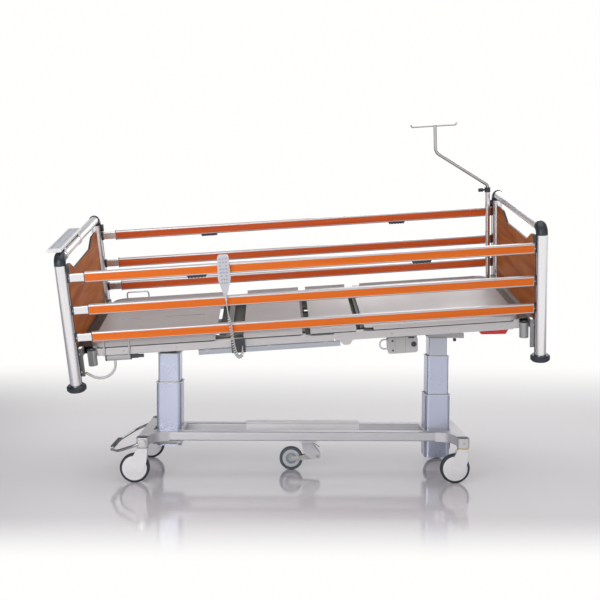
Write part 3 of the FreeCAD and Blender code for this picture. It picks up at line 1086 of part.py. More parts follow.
def handset():
    """The hand control hung on the near upper rail, with its keys and curly cord."""
    back, front = "handset_back", "handset_front"
    tail, belly, head = [span("handset_x", width)
                         for width in ("handset_tail_width", "handset_width", "handset_head_width")]
    shell = slab("xz", (front, back), [
        (tail[0], "handset_bottom"), (tail[1], "handset_bottom"),
        (belly[1], "handset_belly"), (head[1], "handset_top"),
        (head[0], "handset_top"), (belly[0], "handset_belly"),
    ], {"handset_tail_round": [0, 1], "handset_round": [3, 4], "handset_belly_round": [2, 5]})
    hook_top = "upper_rail + rail_height / 2 + seat_gap"
    hook = slab("yz", span("handset_x", "26"), [
        (back, f"{hook_top} - 14"), (back, f"{hook_top} + 5"), ("0 - post_y + rail_depth / 2 + 6", f"{hook_top} + 5"),
        ("0 - post_y + rail_depth / 2 + 6", f"{hook_top} - 20"), ("0 - post_y + rail_depth / 2 + 2", f"{hook_top} - 20"),
        ("0 - post_y + rail_depth / 2 + 2", hook_top), (f"{back} + 0.2", hook_top), (f"{back} + 0.2", f"{hook_top} - 14"),
    ])
    doc.recompute()
    relief = turned("z", ("handset_x", f"({back} + ({front})) / 2"), [
        ("0", "relief_bottom"), ("relief_diameter * 0.36", "relief_bottom"),
        ("relief_diameter / 2", "handset_bottom"), ("0", "handset_bottom"),
    ])
    node("handset_shell", PLATFORM, shell, hook, relief)

    keys = []
    for line in range(6):
        for side in (-1, 1):
            place = f"handset_x + {side} * key_pitch_x / 2", f"handset_top - 34 - {line} * key_pitch_z"
            keys.append(box(span(place[0], "key_size"), (f"{front} - key_proud", front), span(place[1], "key_size")))
    node("handset_keys", PLATFORM, *keys)

    middle = f"({back} + ({front})) / 2"
    plug = "socket_block_end - 12"
    route = [("handset_x", middle, "relief_bottom"), ("handset_x", middle, "relief_bottom - 25"),
             ("handset_x + 8", "-493", "100"), ("handset_x + 14", "-500", "45"), ("handset_x + 18", "-504", "-8"),
             ("handset_x + 24", "-497", "-55"), ("handset_x + 38", "-474", "-84"),
             (plug, "-446", "-80"), (plug, "-428", "-50"),
             (plug, "0 - frame_half - socket_block_depth", "-50")]
    node("handset_cord", PLATFORM, bent_bar("cord_diameter", route, cord_radii(route)))


def infusion_pole():
    """A pole in the far head socket: a clamped tube, a knob and a bent rod with two hooks."""
    at = ("pole_x", "socket_y")
    lower = tube("z", "pole_diameter", "pole_rod_diameter + 2 * running_gap", ("socket_bottom", "pole_top"), at)
    collar = tube("z", "pole_collar_diameter", "pole_rod_diameter + 2 * running_gap",
                  reach("pole_top", "pole_collar_height"), at)
    node("iv_pole_tube", PLATFORM, lower, collar)
    knob_z = "pole_top + pole_collar_height / 2"
    start = "pole_x - pole_collar_diameter / 2 - seat_gap"
    knob = rod("x", "pole_knob_diameter", (f"{start} - pole_knob_length", f"{start} - 8"), ("socket_y", knob_z))
    neck = rod("x", "pole_knob_diameter / 2", (f"{start} - 8", start), ("socket_y", knob_z))
    node("iv_clamp_knob", PLATFORM, knob, neck)
    route = [("pole_x", "socket_y", "pole_rod_foot"), ("pole_x", "socket_y", "pole_bend_low"),
             ("pole_x - pole_reach", "socket_y", "pole_bend_high"), ("pole_x - pole_reach", "socket_y", "pole_rod_top")]
    stem = bent_bar("pole_rod_diameter", route, [22, 45])
    y = "socket_y"
    hooks = bent_bar("hook_bar", [
        ("hook_start", y, "hook_height + hook_tip_rise"), ("hook_start + 8", y, "hook_height"),
        ("hook_end - 8", y, "hook_height"), ("hook_end", y, "hook_height + hook_tip_rise")], [6, 6])
    head = rod("z", "pole_rod_diameter", ("pole_rod_top", "hook_height + hook_bar / 2 + 3"), ("pole_x - pole_reach", y))
    node("iv_rod", PLATFORM, stem, cut(hooks, head), head)


def release_levers():
    """The red levers on a shaft that free the back section in an emergency."""
    z = "release_height"
    y = span("release_y", "release_thickness")
    lever = slab("xz", y, [
        ("release_pivot_x - 10", f"{z} + 7"), ("release_pivot_x - 10", f"{z} - 9"),
        ("release_end_x - 14", f"{z} - 15"), ("release_end_x", f"{z} + 8"),
    ], {"5": [0, 1, 2]})
    eye = rod("y", "release_shaft_diameter", y, ("release_pivot_x", z))
    shaft = rod("y", "release_shaft_diameter", (minus(y[1]), y[1]), ("release_pivot_x", z))
    node("cpr_levers", PLATFORM, *both_sides(cut(lever, eye)), shaft)


base_frame()
base_rail_cover()
castors()
brake_pedal()
fifth_wheel()
columns()
tilt_beam()
roll_actuator()
platform_frame()
corner_fittings()
accessory_rails()
seat_panel()
thigh_section()
back_section()
foot_section()
retainer_loops()
section_actuators()
foot_actuator()
end_boards()
guard_rails()
release_catches()
attendant_panel()
handset()
infusion_pole()
release_levers()
doc.recompute()

for thing in doc.Objects:
    if {"Invalid", "Error"} & set(thing.State):
        raise RuntimeError(f"{thing.Label} failed to build: {thing.State}")
for part in nodes:
    if part.Shape.isNull() or not part.Shape.isValid():
        raise RuntimeError(f"{part.Label} has no valid shape")
os.makedirs("parts", exist_ok=True)
for part in nodes:
    part.Shape.exportStep(f"parts/{part.Label}.step")
print(len(nodes), "nodes written")
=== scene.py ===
# %% [markdown]
# An intensive care bed, dressed in Blender around its imported CAD frame.
# The CAD nodes already have the right shapes and places, so most of this lesson is about finishes.
# The small things that a drawing leaves out, such as keys, screws, caps and seams, are modelled here.
# The first cell loads the frame.

# %% Load the frame
import bmesh
import bpy
import math
from mathutils import Matrix, Vector


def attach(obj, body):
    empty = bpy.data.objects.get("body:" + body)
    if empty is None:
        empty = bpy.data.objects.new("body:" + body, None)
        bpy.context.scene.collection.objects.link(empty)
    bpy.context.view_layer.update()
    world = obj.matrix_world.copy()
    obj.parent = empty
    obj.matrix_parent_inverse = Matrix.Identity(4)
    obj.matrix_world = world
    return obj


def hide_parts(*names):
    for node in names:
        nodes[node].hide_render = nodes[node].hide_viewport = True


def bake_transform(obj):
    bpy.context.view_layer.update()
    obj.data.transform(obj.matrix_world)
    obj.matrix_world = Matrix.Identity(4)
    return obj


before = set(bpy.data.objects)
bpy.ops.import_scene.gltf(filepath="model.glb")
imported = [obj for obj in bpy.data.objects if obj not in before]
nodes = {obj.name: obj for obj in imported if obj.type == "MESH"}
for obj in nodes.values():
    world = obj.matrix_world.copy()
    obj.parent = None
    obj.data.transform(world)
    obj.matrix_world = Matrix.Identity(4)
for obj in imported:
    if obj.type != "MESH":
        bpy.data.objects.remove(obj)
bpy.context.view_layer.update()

print(len(nodes), "nodes loaded")

# %% [markdown]
# The bed is stored tilted and rolled, as it stands in the photograph.
# Three matrices carry a point from millimetres on the level base, beam or deck to metres in the scene.
# A new piece is built level and then carried over, so its object stays at the origin, unturned.

# %% The base, beam and deck places
TILT = math.radians(-4)
ROLL = math.radians(13.4)
BEAM_HEIGHT = 0.772
DECK_OVER_BEAM = 100
TO_METRES = Matrix.Diagonal((0.001, 0.001, 0.001, 1))
BASE = Matrix.Translation((0.016, 0.047, 0)) @ TO_METRES
BEAM = Matrix.Translation((0.026, 0.047, BEAM_HEIGHT)) @ Matrix.Rotation(TILT, 4, "Y") @ TO_METRES
DECK = BEAM @ Matrix.Rotation(ROLL, 4, "X") @ Matrix.Translation((0, 0, DECK_OVER_BEAM))
print("the deck's top centre is at", [round(value, 3) for value in DECK.translation])

# %% [markdown]
# The camera stands about five metres off, a little above the deck, and looks slightly down.
# Its place, turn and lens come from edges of the real bed that are straight and square in the picture.

# %% The camera
SENSOR_WIDTH = 36
LENS = 55.58
CAMERA_PLACE = (-0.0753, -4.8787, 1.1676)
PAN = math.radians(-0.87)
PITCH = math.radians(90 - 2.98)
LEAN = math.radians(0.34)


def add_object(name, data):
    """An object in the scene's collection that holds the data."""
    made = bpy.data.objects.new(name, data)
    bpy.context.scene.collection.objects.link(made)
    return made


camera_data = bpy.data.cameras.new("camera")
camera_data.sensor_width = SENSOR_WIDTH
camera_data.lens = LENS
camera = add_object("camera", camera_data)
camera.matrix_world = (Matrix.Translation(CAMERA_PLACE) @ Matrix.Rotation(PAN, 4, "Z")
                       @ Matrix.Rotation(PITCH, 4, "X") @ Matrix.Rotation(LEAN, 4, "Z"))
bpy.context.scene.camera = camera
bpy.context.scene.view_settings.view_transform = "Standard"
print("camera lens", camera_data.lens)

# %% [markdown]
# Effects that several finishes share are node groups: each has named inputs and gives out colours or heights.
# The first is the tooth of a powder coat or a moulding: fine bumps, and a slow drift in tone.

# %% Node helpers and the tooth group
def add_node(tree, kind, **values):
    """A node with its plain settings and socket values set by name."""
    node = tree.nodes.new(kind)
    for name, value in values.items():
        if hasattr(node, name):
            setattr(node, name, value)
        else:
            node.inputs[name.replace("_", " ")].default_value = value
    return node


def new_group(name, inputs, outputs):
    """An empty node group with float or vector inputs, and its input and output nodes."""
    tree = bpy.data.node_groups.new(name, "ShaderNodeTree")
    for label, kind, value in inputs:
        socket = tree.interface.new_socket(label, in_out="INPUT", socket_type=kind)
        socket.default_value = value
    for label, kind in outputs:
        tree.interface.new_socket(label, in_out="OUTPUT", socket_type=kind)
    return tree, tree.nodes.new("NodeGroupInput"), tree.nodes.new("NodeGroupOutput")


def noise_into(tree, vector, scale, detail):
    """A noise texture that reads a vector socket and a scale socket."""
    noise = add_node(tree, "ShaderNodeTexNoise", Detail=detail)
    tree.links.new(vector, noise.inputs["Vector"])
    tree.links.new(scale, noise.inputs["Scale"])
    return noise.outputs["Fac"]


def joined(tree, operation, first, second):
    """The result of a maths node on two value sockets."""
    node = add_node(tree, "ShaderNodeMath", operation=operation)
    tree.links.new(first, node.inputs[0])
    tree.links.new(second, node.inputs[1])
    return node.outputs["Value"]


def spread_value(tree, value, start, stop, low, high, ease="LINEAR"):
    """A value socket carried from one range to another."""
    node = add_node(tree, "ShaderNodeMapRange", interpolation_type=ease, From_Min=start, From_Max=stop,
                    To_Min=low, To_Max=high)
    tree.links.new(value, node.inputs["Value"])
    return node.outputs["Result"]


FLOAT = "NodeSocketFloat"
VECTOR = "NodeSocketVector"

tooth, tooth_in, tooth_out = new_group(
    "tooth of a coat",
    [("Vector", VECTOR, (0, 0, 0)), ("Fine", FLOAT, 900.0), ("Broad", FLOAT, 6.0)],
    [("Height", FLOAT), ("Tone", FLOAT)])
tooth.links.new(noise_into(tooth, tooth_in.outputs["Vector"], tooth_in.outputs["Fine"], 2.0),
                tooth_out.inputs["Height"])
tooth.links.new(noise_into(tooth, tooth_in.outputs["Vector"], tooth_in.outputs["Broad"], 4.0),
                tooth_out.inputs["Tone"])
print("group", tooth.name)

# %% [markdown]
# Drawn and brushed metal has fine lines along its length.
# Noise that is stretched a hundred times along one axis looks like them.
# The stretch comes from a multiplied vector, so one group serves bars that run in any direction.

# %% The drawn lines group
drawn, drawn_in, drawn_out = new_group(
    "drawn lines",
    [("Vector", VECTOR, (0, 0, 0)), ("Stretch", VECTOR, (4, 400, 400)), ("Broad", FLOAT, 3.0)],
    [("Height", FLOAT), ("Tone", FLOAT), ("Haze", FLOAT)])
stretch = add_node(drawn, "ShaderNodeVectorMath", operation="MULTIPLY")
drawn.links.new(drawn_in.outputs["Vector"], stretch.inputs[0])
drawn.links.new(drawn_in.outputs["Stretch"], stretch.inputs[1])
lines = add_node(drawn, "ShaderNodeTexNoise", Scale=1.0, Detail=3.0)
drawn.links.new(stretch.outputs["Vector"], lines.inputs["Vector"])
drawn.links.new(lines.outputs["Fac"], drawn_out.inputs["Height"])
drawn.links.new(lines.outputs["Fac"], drawn_out.inputs["Tone"])
drawn.links.new(noise_into(drawn, drawn_in.outputs["Vector"], drawn_in.outputs["Broad"], 5.0),
                drawn_out.inputs["Haze"])
print("group", drawn.name)

# %% [markdown]
# A finish is one Principled shader whose colour runs between two close tones.
# The tone, the roughness and the bump come from a group. All else is set on the shader's own sockets.

# %% The finish helper
finishes = {}
TURN_TO_DECK = (ROLL, TILT, 0)
NOISE_LOW = 0.3
NOISE_HIGH = 0.7


def ramp_between(tree, factor, low, high):
    """Stretches the middle of a noise value over a wider range."""
    return spread_value(tree, factor, NOISE_LOW, NOISE_HIGH, low, high)


def finish(name, dark, light, rough=(0.35, 0.5), bump=0.1, depth=0.0004, group=tooth, level=False,
           values=None, shader_values=None):
    """A material between two tones, with roughness between two values and a fine bump."""
    material = bpy.data.materials.new(name)
    material.use_nodes = True
    tree = material.node_tree
    shader = tree.nodes["Principled BSDF"]
    place = tree.nodes.new("ShaderNodeTexCoord").outputs["Object"]
    if level:
        turn = add_node(tree, "ShaderNodeMapping", vector_type="TEXTURE", Rotation=TURN_TO_DECK)
        tree.links.new(place, turn.inputs["Vector"])
        place = turn.outputs["Vector"]
    effect = tree.nodes.new("ShaderNodeGroup")
    effect.node_tree = group
    tree.links.new(place, effect.inputs["Vector"])
    for label, value in (values or {}).items():
        effect.inputs[label].default_value = value
    tone = ramp_between(tree, effect.outputs["Tone"], 0.0, 1.0)
    mix = add_node(tree, "ShaderNodeMix", data_type="RGBA")
    colours = [socket for socket in mix.inputs if socket.type == "RGBA"]
    colours[0].default_value = (*dark, 1)
    colours[1].default_value = (*light, 1)
    tree.links.new(tone, mix.inputs[0])
    tree.links.new(next(out for out in mix.outputs if out.type == "RGBA"), shader.inputs["Base Color"])
    haze = effect.outputs.get("Haze") or effect.outputs["Tone"]
    tree.links.new(ramp_between(tree, haze, *rough), shader.inputs["Roughness"])
    relief = add_node(tree, "ShaderNodeBump", Strength=bump, Distance=depth)
    tree.links.new(effect.outputs["Height"], relief.inputs["Height"])
    tree.links.new(relief.outputs["Normal"], shader.inputs["Normal"])
    for label, value in (shader_values or {}).items():
        shader.inputs[label].default_value = value
    finishes[name] = material
    return material


def tones(red, green, blue, spread=0.06):
    """Two close tones about a colour."""
    colour = (red, green, blue)
    dark = tuple(part * (1 - spread) for part in colour)
    light = tuple(min(1, part * (1 + spread)) for part in colour)
    return [dark, light]


# %% [markdown]
# The base, the columns and the deck's frame are steel under a pale powder coat, satin and slightly metallic.
# The rails and posts are anodised aluminium with drawn lines, which run along each bar.

# %% Metal finishes
METAL = {"Metallic": 1.0}
ALONG = (6, 500, 500)
ACROSS = (500, 6, 500)
UPRIGHT = (500, 500, 6)


def drawn_metal(name, colour, spread, rough, stretch, bump=0.05, level=True):
    """Bare metal with fine lines that run the way of the stretch."""
    return finish(name, *tones(*colour, spread), rough=rough, group=drawn, level=level,
                  values={"Stretch": stretch}, bump=bump, shader_values=METAL)


silver_coat = finish("silver coat", *tones(0.66, 0.655, 0.68, 0.03), rough=(0.34, 0.46),
                     shader_values={"Metallic": 0.35})
frame_coat = finish("frame coat", *tones(0.66, 0.645, 0.65, 0.03), rough=(0.36, 0.5),
                    shader_values={"Metallic": 0.2})
column_coat = finish("column coat", *tones(0.50, 0.53, 0.66, 0.03), rough=(0.24, 0.34),
                     bump=0.03, shader_values={"Metallic": 0.7})
inner_column_coat = finish("inner column coat", *tones(0.48, 0.50, 0.58, 0.03), rough=(0.24, 0.34),
                           bump=0.03, shader_values={"Metallic": 0.7})
# Painted shade: a dark grey-green for faces inside and under the frame and deck, and for parts under the deck
# or at the shaded foot end.
painted_shade_grey = finish("painted shade grey-green", *tones(0.20, 0.21, 0.195, 0.12), rough=(0.4, 0.55),
                     shader_values={"Metallic": 0.3})
# Painted shade: a near-black for the foot end rail and the strip under it, where the foot end lies in shadow.
foot_end_shade = finish("painted shade at the foot end", *tones(0.035, 0.036, 0.04, 0.2), rough=(0.35, 0.5))
deck_coat = finish("deck coat", *tones(0.50, 0.485, 0.49, 0.05), rough=(0.34, 0.48), group=drawn,
                   level=True, values={"Stretch": (5, 240, 240)}, bump=0.04, shader_values={"Metallic": 0.45})
anodised = drawn_metal("anodised aluminium", (0.56, 0.545, 0.56), 0.07, (0.28, 0.4), ALONG)
anodised_upright = drawn_metal("anodised upright", (0.82, 0.81, 0.83), 0.05, (0.14, 0.24), UPRIGHT)
anodised_across = drawn_metal("anodised across", (0.66, 0.65, 0.67), 0.06, (0.22, 0.34), ACROSS)
steel = drawn_metal("brushed steel", (0.50, 0.50, 0.49), 0.12, (0.22, 0.4), (30, 30, 30), bump=0.04,
                    level=False)
bright_insert = drawn_metal("bright insert tube", (0.80, 0.79, 0.81), 0.04, (0.24, 0.34), ALONG, bump=0.04)
accessory_metal = drawn_metal("accessory rail metal", (0.45, 0.47, 0.52), 0.06, (0.24, 0.36), ALONG)
chrome = drawn_metal("pole chrome", (0.50, 0.49, 0.48), 0.08, (0.07, 0.15), (60, 60, 6), bump=0.02)
cast_grey = finish("cast grey", *tones(0.42, 0.43, 0.43, 0.1), rough=(0.4, 0.55),
                   values={"Fine": 500.0}, shader_values={"Metallic": 0.6})
print(len(finishes), "metal finishes")

# %% [markdown]
# The strips on the rails are a laminate in warm orange, and the boards are laminate with a wood grain.
# The castors are white mouldings with dark tyres, and the corners are black nylon.

# %% Plastic, rubber and board finishes
STRIP = {"rough": (0.3, 0.42), "group": drawn, "level": True, "bump": 0.03,
         "values": {"Stretch": (1.6, 60, 60), "Broad": 1.2}, "shader_values": {"Specular IOR Level": 0.25}}
strip_orange = finish("orange strip", (0.86, 0.165, 0.012), (0.94, 0.20, 0.018), **STRIP)
# The strips on the inner faces are darker and redder: painted shade, as those faces lie in shadow.
inner_strip_shade = finish("painted shade strip", (0.64, 0.09, 0.016), (0.76, 0.13, 0.026), **STRIP)
board = finish("board laminate", (0.38, 0.088, 0.018), (0.60, 0.19, 0.040), rough=(0.45, 0.6), group=drawn,
               level=True, values={"Stretch": (30, 3, 26), "Broad": 2.0}, bump=0.06,
               shader_values={"Specular IOR Level": 0.12})
white_moulding = finish("white moulding", *tones(0.90, 0.89, 0.90, 0.015), rough=(0.3, 0.42), bump=0.05)
handset_white = finish("handset white", *tones(0.70, 0.69, 0.74, 0.03), rough=(0.35, 0.48), bump=0.08)
sheath = finish("cable sheath", *tones(0.66, 0.65, 0.66, 0.04), rough=(0.35, 0.5), bump=0.05)
black_nylon = finish("black nylon", *tones(0.028, 0.036, 0.046, 0.2), rough=(0.3, 0.42),
                     values={"Fine": 700.0}, bump=0.15)
rubber = finish("grey black rubber", *tones(0.035, 0.042, 0.052, 0.2), rough=(0.5, 0.66), bump=0.2)
tread = finish("fifth wheel rubber", *tones(0.10, 0.125, 0.15, 0.12), rough=(0.5, 0.62), bump=0.2)
motor_grey = finish("motor housing", *tones(0.50, 0.50, 0.50, 0.05), rough=(0.4, 0.52), bump=0.12)
dark_plastic = finish("dark plastic", *tones(0.06, 0.065, 0.075, 0.15), rough=(0.4, 0.5), bump=0.1)
red_lever = finish("red moulding", *tones(0.72, 0.02, 0.02, 0.06), rough=(0.25, 0.35), bump=0.05)
yellow_ring = finish("yellow moulding", *tones(0.66, 0.56, 0.12, 0.06), rough=(0.3, 0.4), bump=0.05)
key_blue = finish("key caps", *tones(0.42, 0.46, 0.58, 0.08), rough=(0.35, 0.45), bump=0.05)
membrane = finish("membrane", *tones(0.58, 0.585, 0.62, 0.03), rough=(0.4, 0.5), bump=0.05)
hub_blue = finish("hub moulding", *tones(0.30, 0.36, 0.43, 0.08), rough=(0.4, 0.5), bump=0.08)
# Painted shade: a dark coat for the trays under the gaps between the deck panels.
shade_in_gaps = finish("painted shade in the gaps", *tones(0.11, 0.115, 0.10, 0.15), rough=(0.45, 0.6), bump=0.1)
seal_black = finish("black seal", *tones(0.018, 0.018, 0.02, 0.2), rough=(0.5, 0.65), bump=0.1)
print(len(finishes), "finishes in all")

# %% [markdown]
# A CAD node keeps its mesh, and its faces are shared out between finishes by where they lie.
# The helper hands each face's centre and normal, in millimetres on the level base or deck, to a rule.
# The rule returns the number of the finish.

# %% Paint the CAD nodes
def paint(name, materials, place=None, rule=None):
    """Gives a node its finishes. The rule returns the number of the finish for a face."""
    mesh = nodes[name].data
    mesh.materials.clear()
    for material in materials:
        mesh.materials.append(material)
    if rule:
        back = place.inverted()
        turn = back.to_3x3().normalized()
    for face in mesh.polygons:
        face.material_index = rule(back @ face.center, turn @ face.normal) if rule else 0


CORNERS = [(end, side) for end in ("foot", "head") for side in ("near", "far")]
SWIVEL = {"foot": -810, "head": 810, "near": -285, "far": 285}
TRAIL = 40
AXLE_HEIGHT = 75
TYRE_INSIDE = 61.5
FORK_RING = (176.1, 183.2)
FIFTH_X = -59
FIFTH_HEIGHT = 62.5
FIFTH_TREAD_INSIDE = 44
FOOT_COLUMN = -705
HEAD_COLUMN = 714.5
SLEEVE_TOP = {"foot": 478, "head": 417}
MIDDLE_TOP = {"foot": 631, "head": 621}
RIM_DEPTH = 3.9
POST_LINE = 460
RAIL_HEIGHT = {"upper": 363, "middle": 203, "lower": 67}
STRIP_HALF = 16.9
TUBE_SIDE = 11.5
SHEET_EDGE = 390


def sleeve_rule(centre, normal):
    """The rim on top of a sleeve is a white moulding."""
    top = SLEEVE_TOP["foot" if centre.x < 0 else "head"]
    return int(centre.z > top - RIM_DEPTH)


def fork_rule(centre, normal):
    """The ring under the housing has its own colour."""
    return int(FORK_RING[0] < centre.z < FORK_RING[1])


def round_rule(x, height, inside):
    """The tread or tyre lies outside a radius about the axle."""
    def rule(centre, normal):
        return int(math.hypot(centre.x - x, centre.z - height) > inside)
    return rule


def head_inner_rule(centre, normal):
    """The knob on the near side is dark, and the ears and the pin are painted."""
    if centre.z < 716 and centre.y < -48 and centre.x > 790:
        return 2
    return int(centre.z > 716.1)


def frame_rule(centre, normal):
    """Dark socket block; the end rails and the inner and under faces in dark painted shade, darkest at the
    foot end; and a pale outside.
    """
    if centre.y < -388.5:
        return 1
    if abs(centre.x) > 1048.9 and abs(centre.y) < 379:
        return 3 if centre.x < 0 else 2
    if abs(centre.y) < 357.9 or normal.y * centre.y < -300:
        return 2
    return 0


def panel_rule(centre, normal):
    """The sheet on top, the arms and channels under it in painted shade, and the turned edge, which some
    panels paint lighter as painted light.
    """
    if centre.z < -3.2 and abs(centre.y) < SHEET_EDGE - 1:
        return 1
    return 2 if abs(centre.y) > SHEET_EDGE + 0.1 else 0


def post_rule(centre, normal):
    """Top bars run across, and slots in the posts are dark."""
    if centre.z > 431:
        return 1
    return 2 if abs(abs(centre.y) - POST_LINE) < 7.2 and abs(centre.x) < 1117.2 else 0


def rail_rule(side, level):
    """Strips on the tube, outside in orange and inside darker as painted shade, then the bright insert and
    the dark end caps.
    """
    facing = -1 if side == "near" else 1

    def rule(centre, normal):
        across = centre.y * facing - POST_LINE
        if abs(centre.x) > 1096.4:
            return 4
        if centre.x < -1028.1:
            return 3
        if centre.x < -1024.9:
            return 4
        if abs(centre.z - RAIL_HEIGHT[level]) < STRIP_HALF and abs(across) > TUBE_SIDE:
            return 1 if across > 0 else 2
        return 0
    return rule


paint("base_frame", [silver_coat, cast_grey], BASE,
      lambda centre, normal: int(centre.z < 182.9 and centre.x < -650))
paint("base_rail_cover", [white_moulding])
paint("column_sleeves", [column_coat, white_moulding], BASE, sleeve_rule)
paint("caster_housings", [silver_coat, dark_plastic], BASE, lambda centre, normal: int(centre.z > 230.9))
for end, side in CORNERS:
    collar = yellow_ring if (end, side) == ("head", "near") else cast_grey
    paint(f"caster_fork_{end}_{side}", [white_moulding, collar], BASE, fork_rule)
    paint(f"caster_wheel_{end}_{side}", [white_moulding, rubber], BASE,
          round_rule(SWIVEL[end] - TRAIL, AXLE_HEIGHT, TYRE_INSIDE))
paint("brake_pedal", [steel, rubber], BASE,
      lambda centre, normal: int(abs(centre.y) < 122 and centre.x < -980 and centre.z > 139.5))
paint("fifth_wheel_bracket", [silver_coat, steel], BASE,
      lambda centre, normal: int(abs(centre.y) > 29.9 and centre.z < 174))
paint("fifth_wheel_arm", [steel])
paint("fifth_wheel", [sheath, tread], BASE, round_rule(FIFTH_X, FIFTH_HEIGHT, FIFTH_TREAD_INSIDE))
paint("foot_column_mid", [column_coat, white_moulding], BASE,
      lambda centre, normal: int(centre.z > MIDDLE_TOP["foot"] - RIM_DEPTH))
paint("head_column_mid", [column_coat, white_moulding], BASE,
      lambda centre, normal: int(centre.z > MIDDLE_TOP["head"] - RIM_DEPTH))
# The top of the inner foot column, under the deck, takes the painted shade grey-green.
paint("foot_column_inner", [inner_column_coat, painted_shade_grey], BASE,
      lambda centre, normal: int(centre.z > 630.5))
paint("head_column_inner", [inner_column_coat, frame_coat, dark_plastic], BASE, head_inner_rule)
for name in ("pivot_bush", "lateral_actuator_rod", "back_actuator_rod", "thigh_actuator_rod"):
    paint(name, [steel])
paint("tilt_beam", [silver_coat])
paint("lateral_actuator", [motor_grey])
paint("platform_frame", [frame_coat, dark_plastic, painted_shade_grey, foot_end_shade], DECK, frame_rule)
# The foot-end outer faces of the corner fittings take the painted shade grey-green.
paint("corner_fittings", [cast_grey, painted_shade_grey], DECK,
      lambda centre, normal: int(centre.x < 0 and abs(centre.y) > 421))
paint("accessory_rails", [accessory_metal])
# The turned edges of the seat, thigh and back sections take the lighter frame coat as painted light, and the
# foot section's edge keeps the deck tone.
for name in ("seat_panel", "thigh_section", "back_section"):
    paint(name, [deck_coat, painted_shade_grey, frame_coat], DECK, panel_rule)
paint("foot_section", [deck_coat, painted_shade_grey, deck_coat], DECK, panel_rule)
paint("retainer_loops", [frame_coat, steel], DECK, lambda centre, normal: int(centre.y > 0))
paint("back_actuator", [frame_coat, steel], DECK, lambda centre, normal: int(centre.z > -118.6))
paint("thigh_actuator", [motor_grey])
paint("foot_actuator", [motor_grey, dark_plastic], DECK, lambda centre, normal: int(centre.x > -866.9))
paint("end_board_posts", [anodised_upright, anodised_across, dark_plastic], DECK, post_rule)
paint("end_board_panels", [board, dark_plastic], DECK, lambda centre, normal: int(abs(normal.x) < 0.7))
paint("corner_elbows", [black_nylon])
paint("corner_bumpers", [black_nylon])
paint("attendant_panel", [white_moulding, dark_plastic], DECK, lambda centre, normal: int(centre.z < 489.9))
paint("handset_shell", [handset_white])
paint("cpr_levers", [red_lever, steel], DECK, lambda centre, normal: int(abs(centre.y) < 364.5))
paint("iv_pole_tube", [anodised_upright, black_nylon], DECK, lambda centre, normal: int(centre.z > 485.9))
paint("iv_clamp_knob", [black_nylon])
paint("iv_rod", [chrome])
RAIL_FINISHES = [anodised, strip_orange, inner_strip_shade, bright_insert, dark_plastic]
for side in ("near", "far"):
    for level in RAIL_HEIGHT:
        paint(f"guard_rail_{side}_{level}", RAIL_FINISHES, DECK, rail_rule(side, level))
    for end in ("foot", "head"):
        paint(f"release_catch_{side}_{end}", [black_nylon])
print("nodes painted")

# %% [markdown]
# New pieces come from bmesh operators, in millimetres on the level base, beam or deck.
# The helper carries a finished bmesh over and shades it by angle. It also sets the piece's body and its slot.

# %% Piece helpers
SMOOTH_ANGLE = math.radians(35)
DOUBLES = 0.001


def make_piece(name, shape, place, body, material):
    """Turns a bmesh into a finished object at the origin that rides on a body."""
    bmesh.ops.remove_doubles(shape, verts=shape.verts, dist=DOUBLES)
    bmesh.ops.transform(shape, matrix=place, verts=shape.verts)
    bmesh.ops.recalc_face_normals(shape, faces=shape.faces)
    mesh = bpy.data.meshes.new(name)
    shape.to_mesh(mesh)
    shape.free()
    mesh.materials.append(material)
    mesh.set_sharp_from_angle(angle=SMOOTH_ANGLE)
    for face in mesh.polygons:
        face.use_smooth = True
    piece = add_object(name, mesh)
    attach(piece, body)
    return piece


def edges_of(vertices):
    """The edges that meet at the vertices."""
    return list({edge for vertex in vertices for edge in vertex.link_edges})


def vertices_in(geometry):
    """The vertices in what a bmesh operator gives back."""
    return [item for item in geometry if isinstance(item, bmesh.types.BMVert)]


def bevel_edges(shape, edges, offset, segments=2):
    """Rounds edges off by an offset."""
    bmesh.ops.bevel(shape, geom=edges, offset=offset, offset_type="OFFSET", affect="EDGES", segments=segments,
                    profile=0.5, material=-1, clamp_overlap=True)


def block(shape, x, y, z, round_off=0.0, segments=2):
    """A block between limits, with its edges bevelled."""
    size = Matrix.Diagonal((x[1] - x[0], y[1] - y[0], z[1] - z[0], 1))
    middle = Matrix.Translation(((x[0] + x[1]) / 2, (y[0] + y[1]) / 2, (z[0] + z[1]) / 2))
    made = bmesh.ops.create_cube(shape, size=1.0, matrix=middle @ size)["verts"]
    if round_off:
        bevel_edges(shape, edges_of(made), round_off, segments)


QUARTER_TURN = math.radians(90)
AXIS_TURN = {"x": Matrix.Rotation(QUARTER_TURN, 4, "Y"), "y": Matrix.Rotation(-QUARTER_TURN, 4, "X"),
             "z": Matrix.Identity(4)}


def disc(shape, centre, axis, radius, length, round_off, sides=32):
    """A round bar about a centre, with its rims bevelled."""
    made = bmesh.ops.create_cone(shape, cap_ends=True, cap_tris=False, segments=sides, radius1=radius,
                                 radius2=radius, depth=length,
                                 matrix=Matrix.Translation(centre) @ AXIS_TURN[axis])["verts"]
    rims = [edge for edge in edges_of(made) if any(len(face.verts) > 4 for face in edge.link_faces)]
    bevel_edges(shape, rims, round_off)


def mirror_y(shape):
    """Adds the same piece on the other side of the bed."""
    copy = bmesh.ops.duplicate(shape, geom=shape.verts[:] + shape.edges[:] + shape.faces[:])["geom"]
    bmesh.ops.scale(shape, vec=(1, -1, 1), verts=vertices_in(copy))


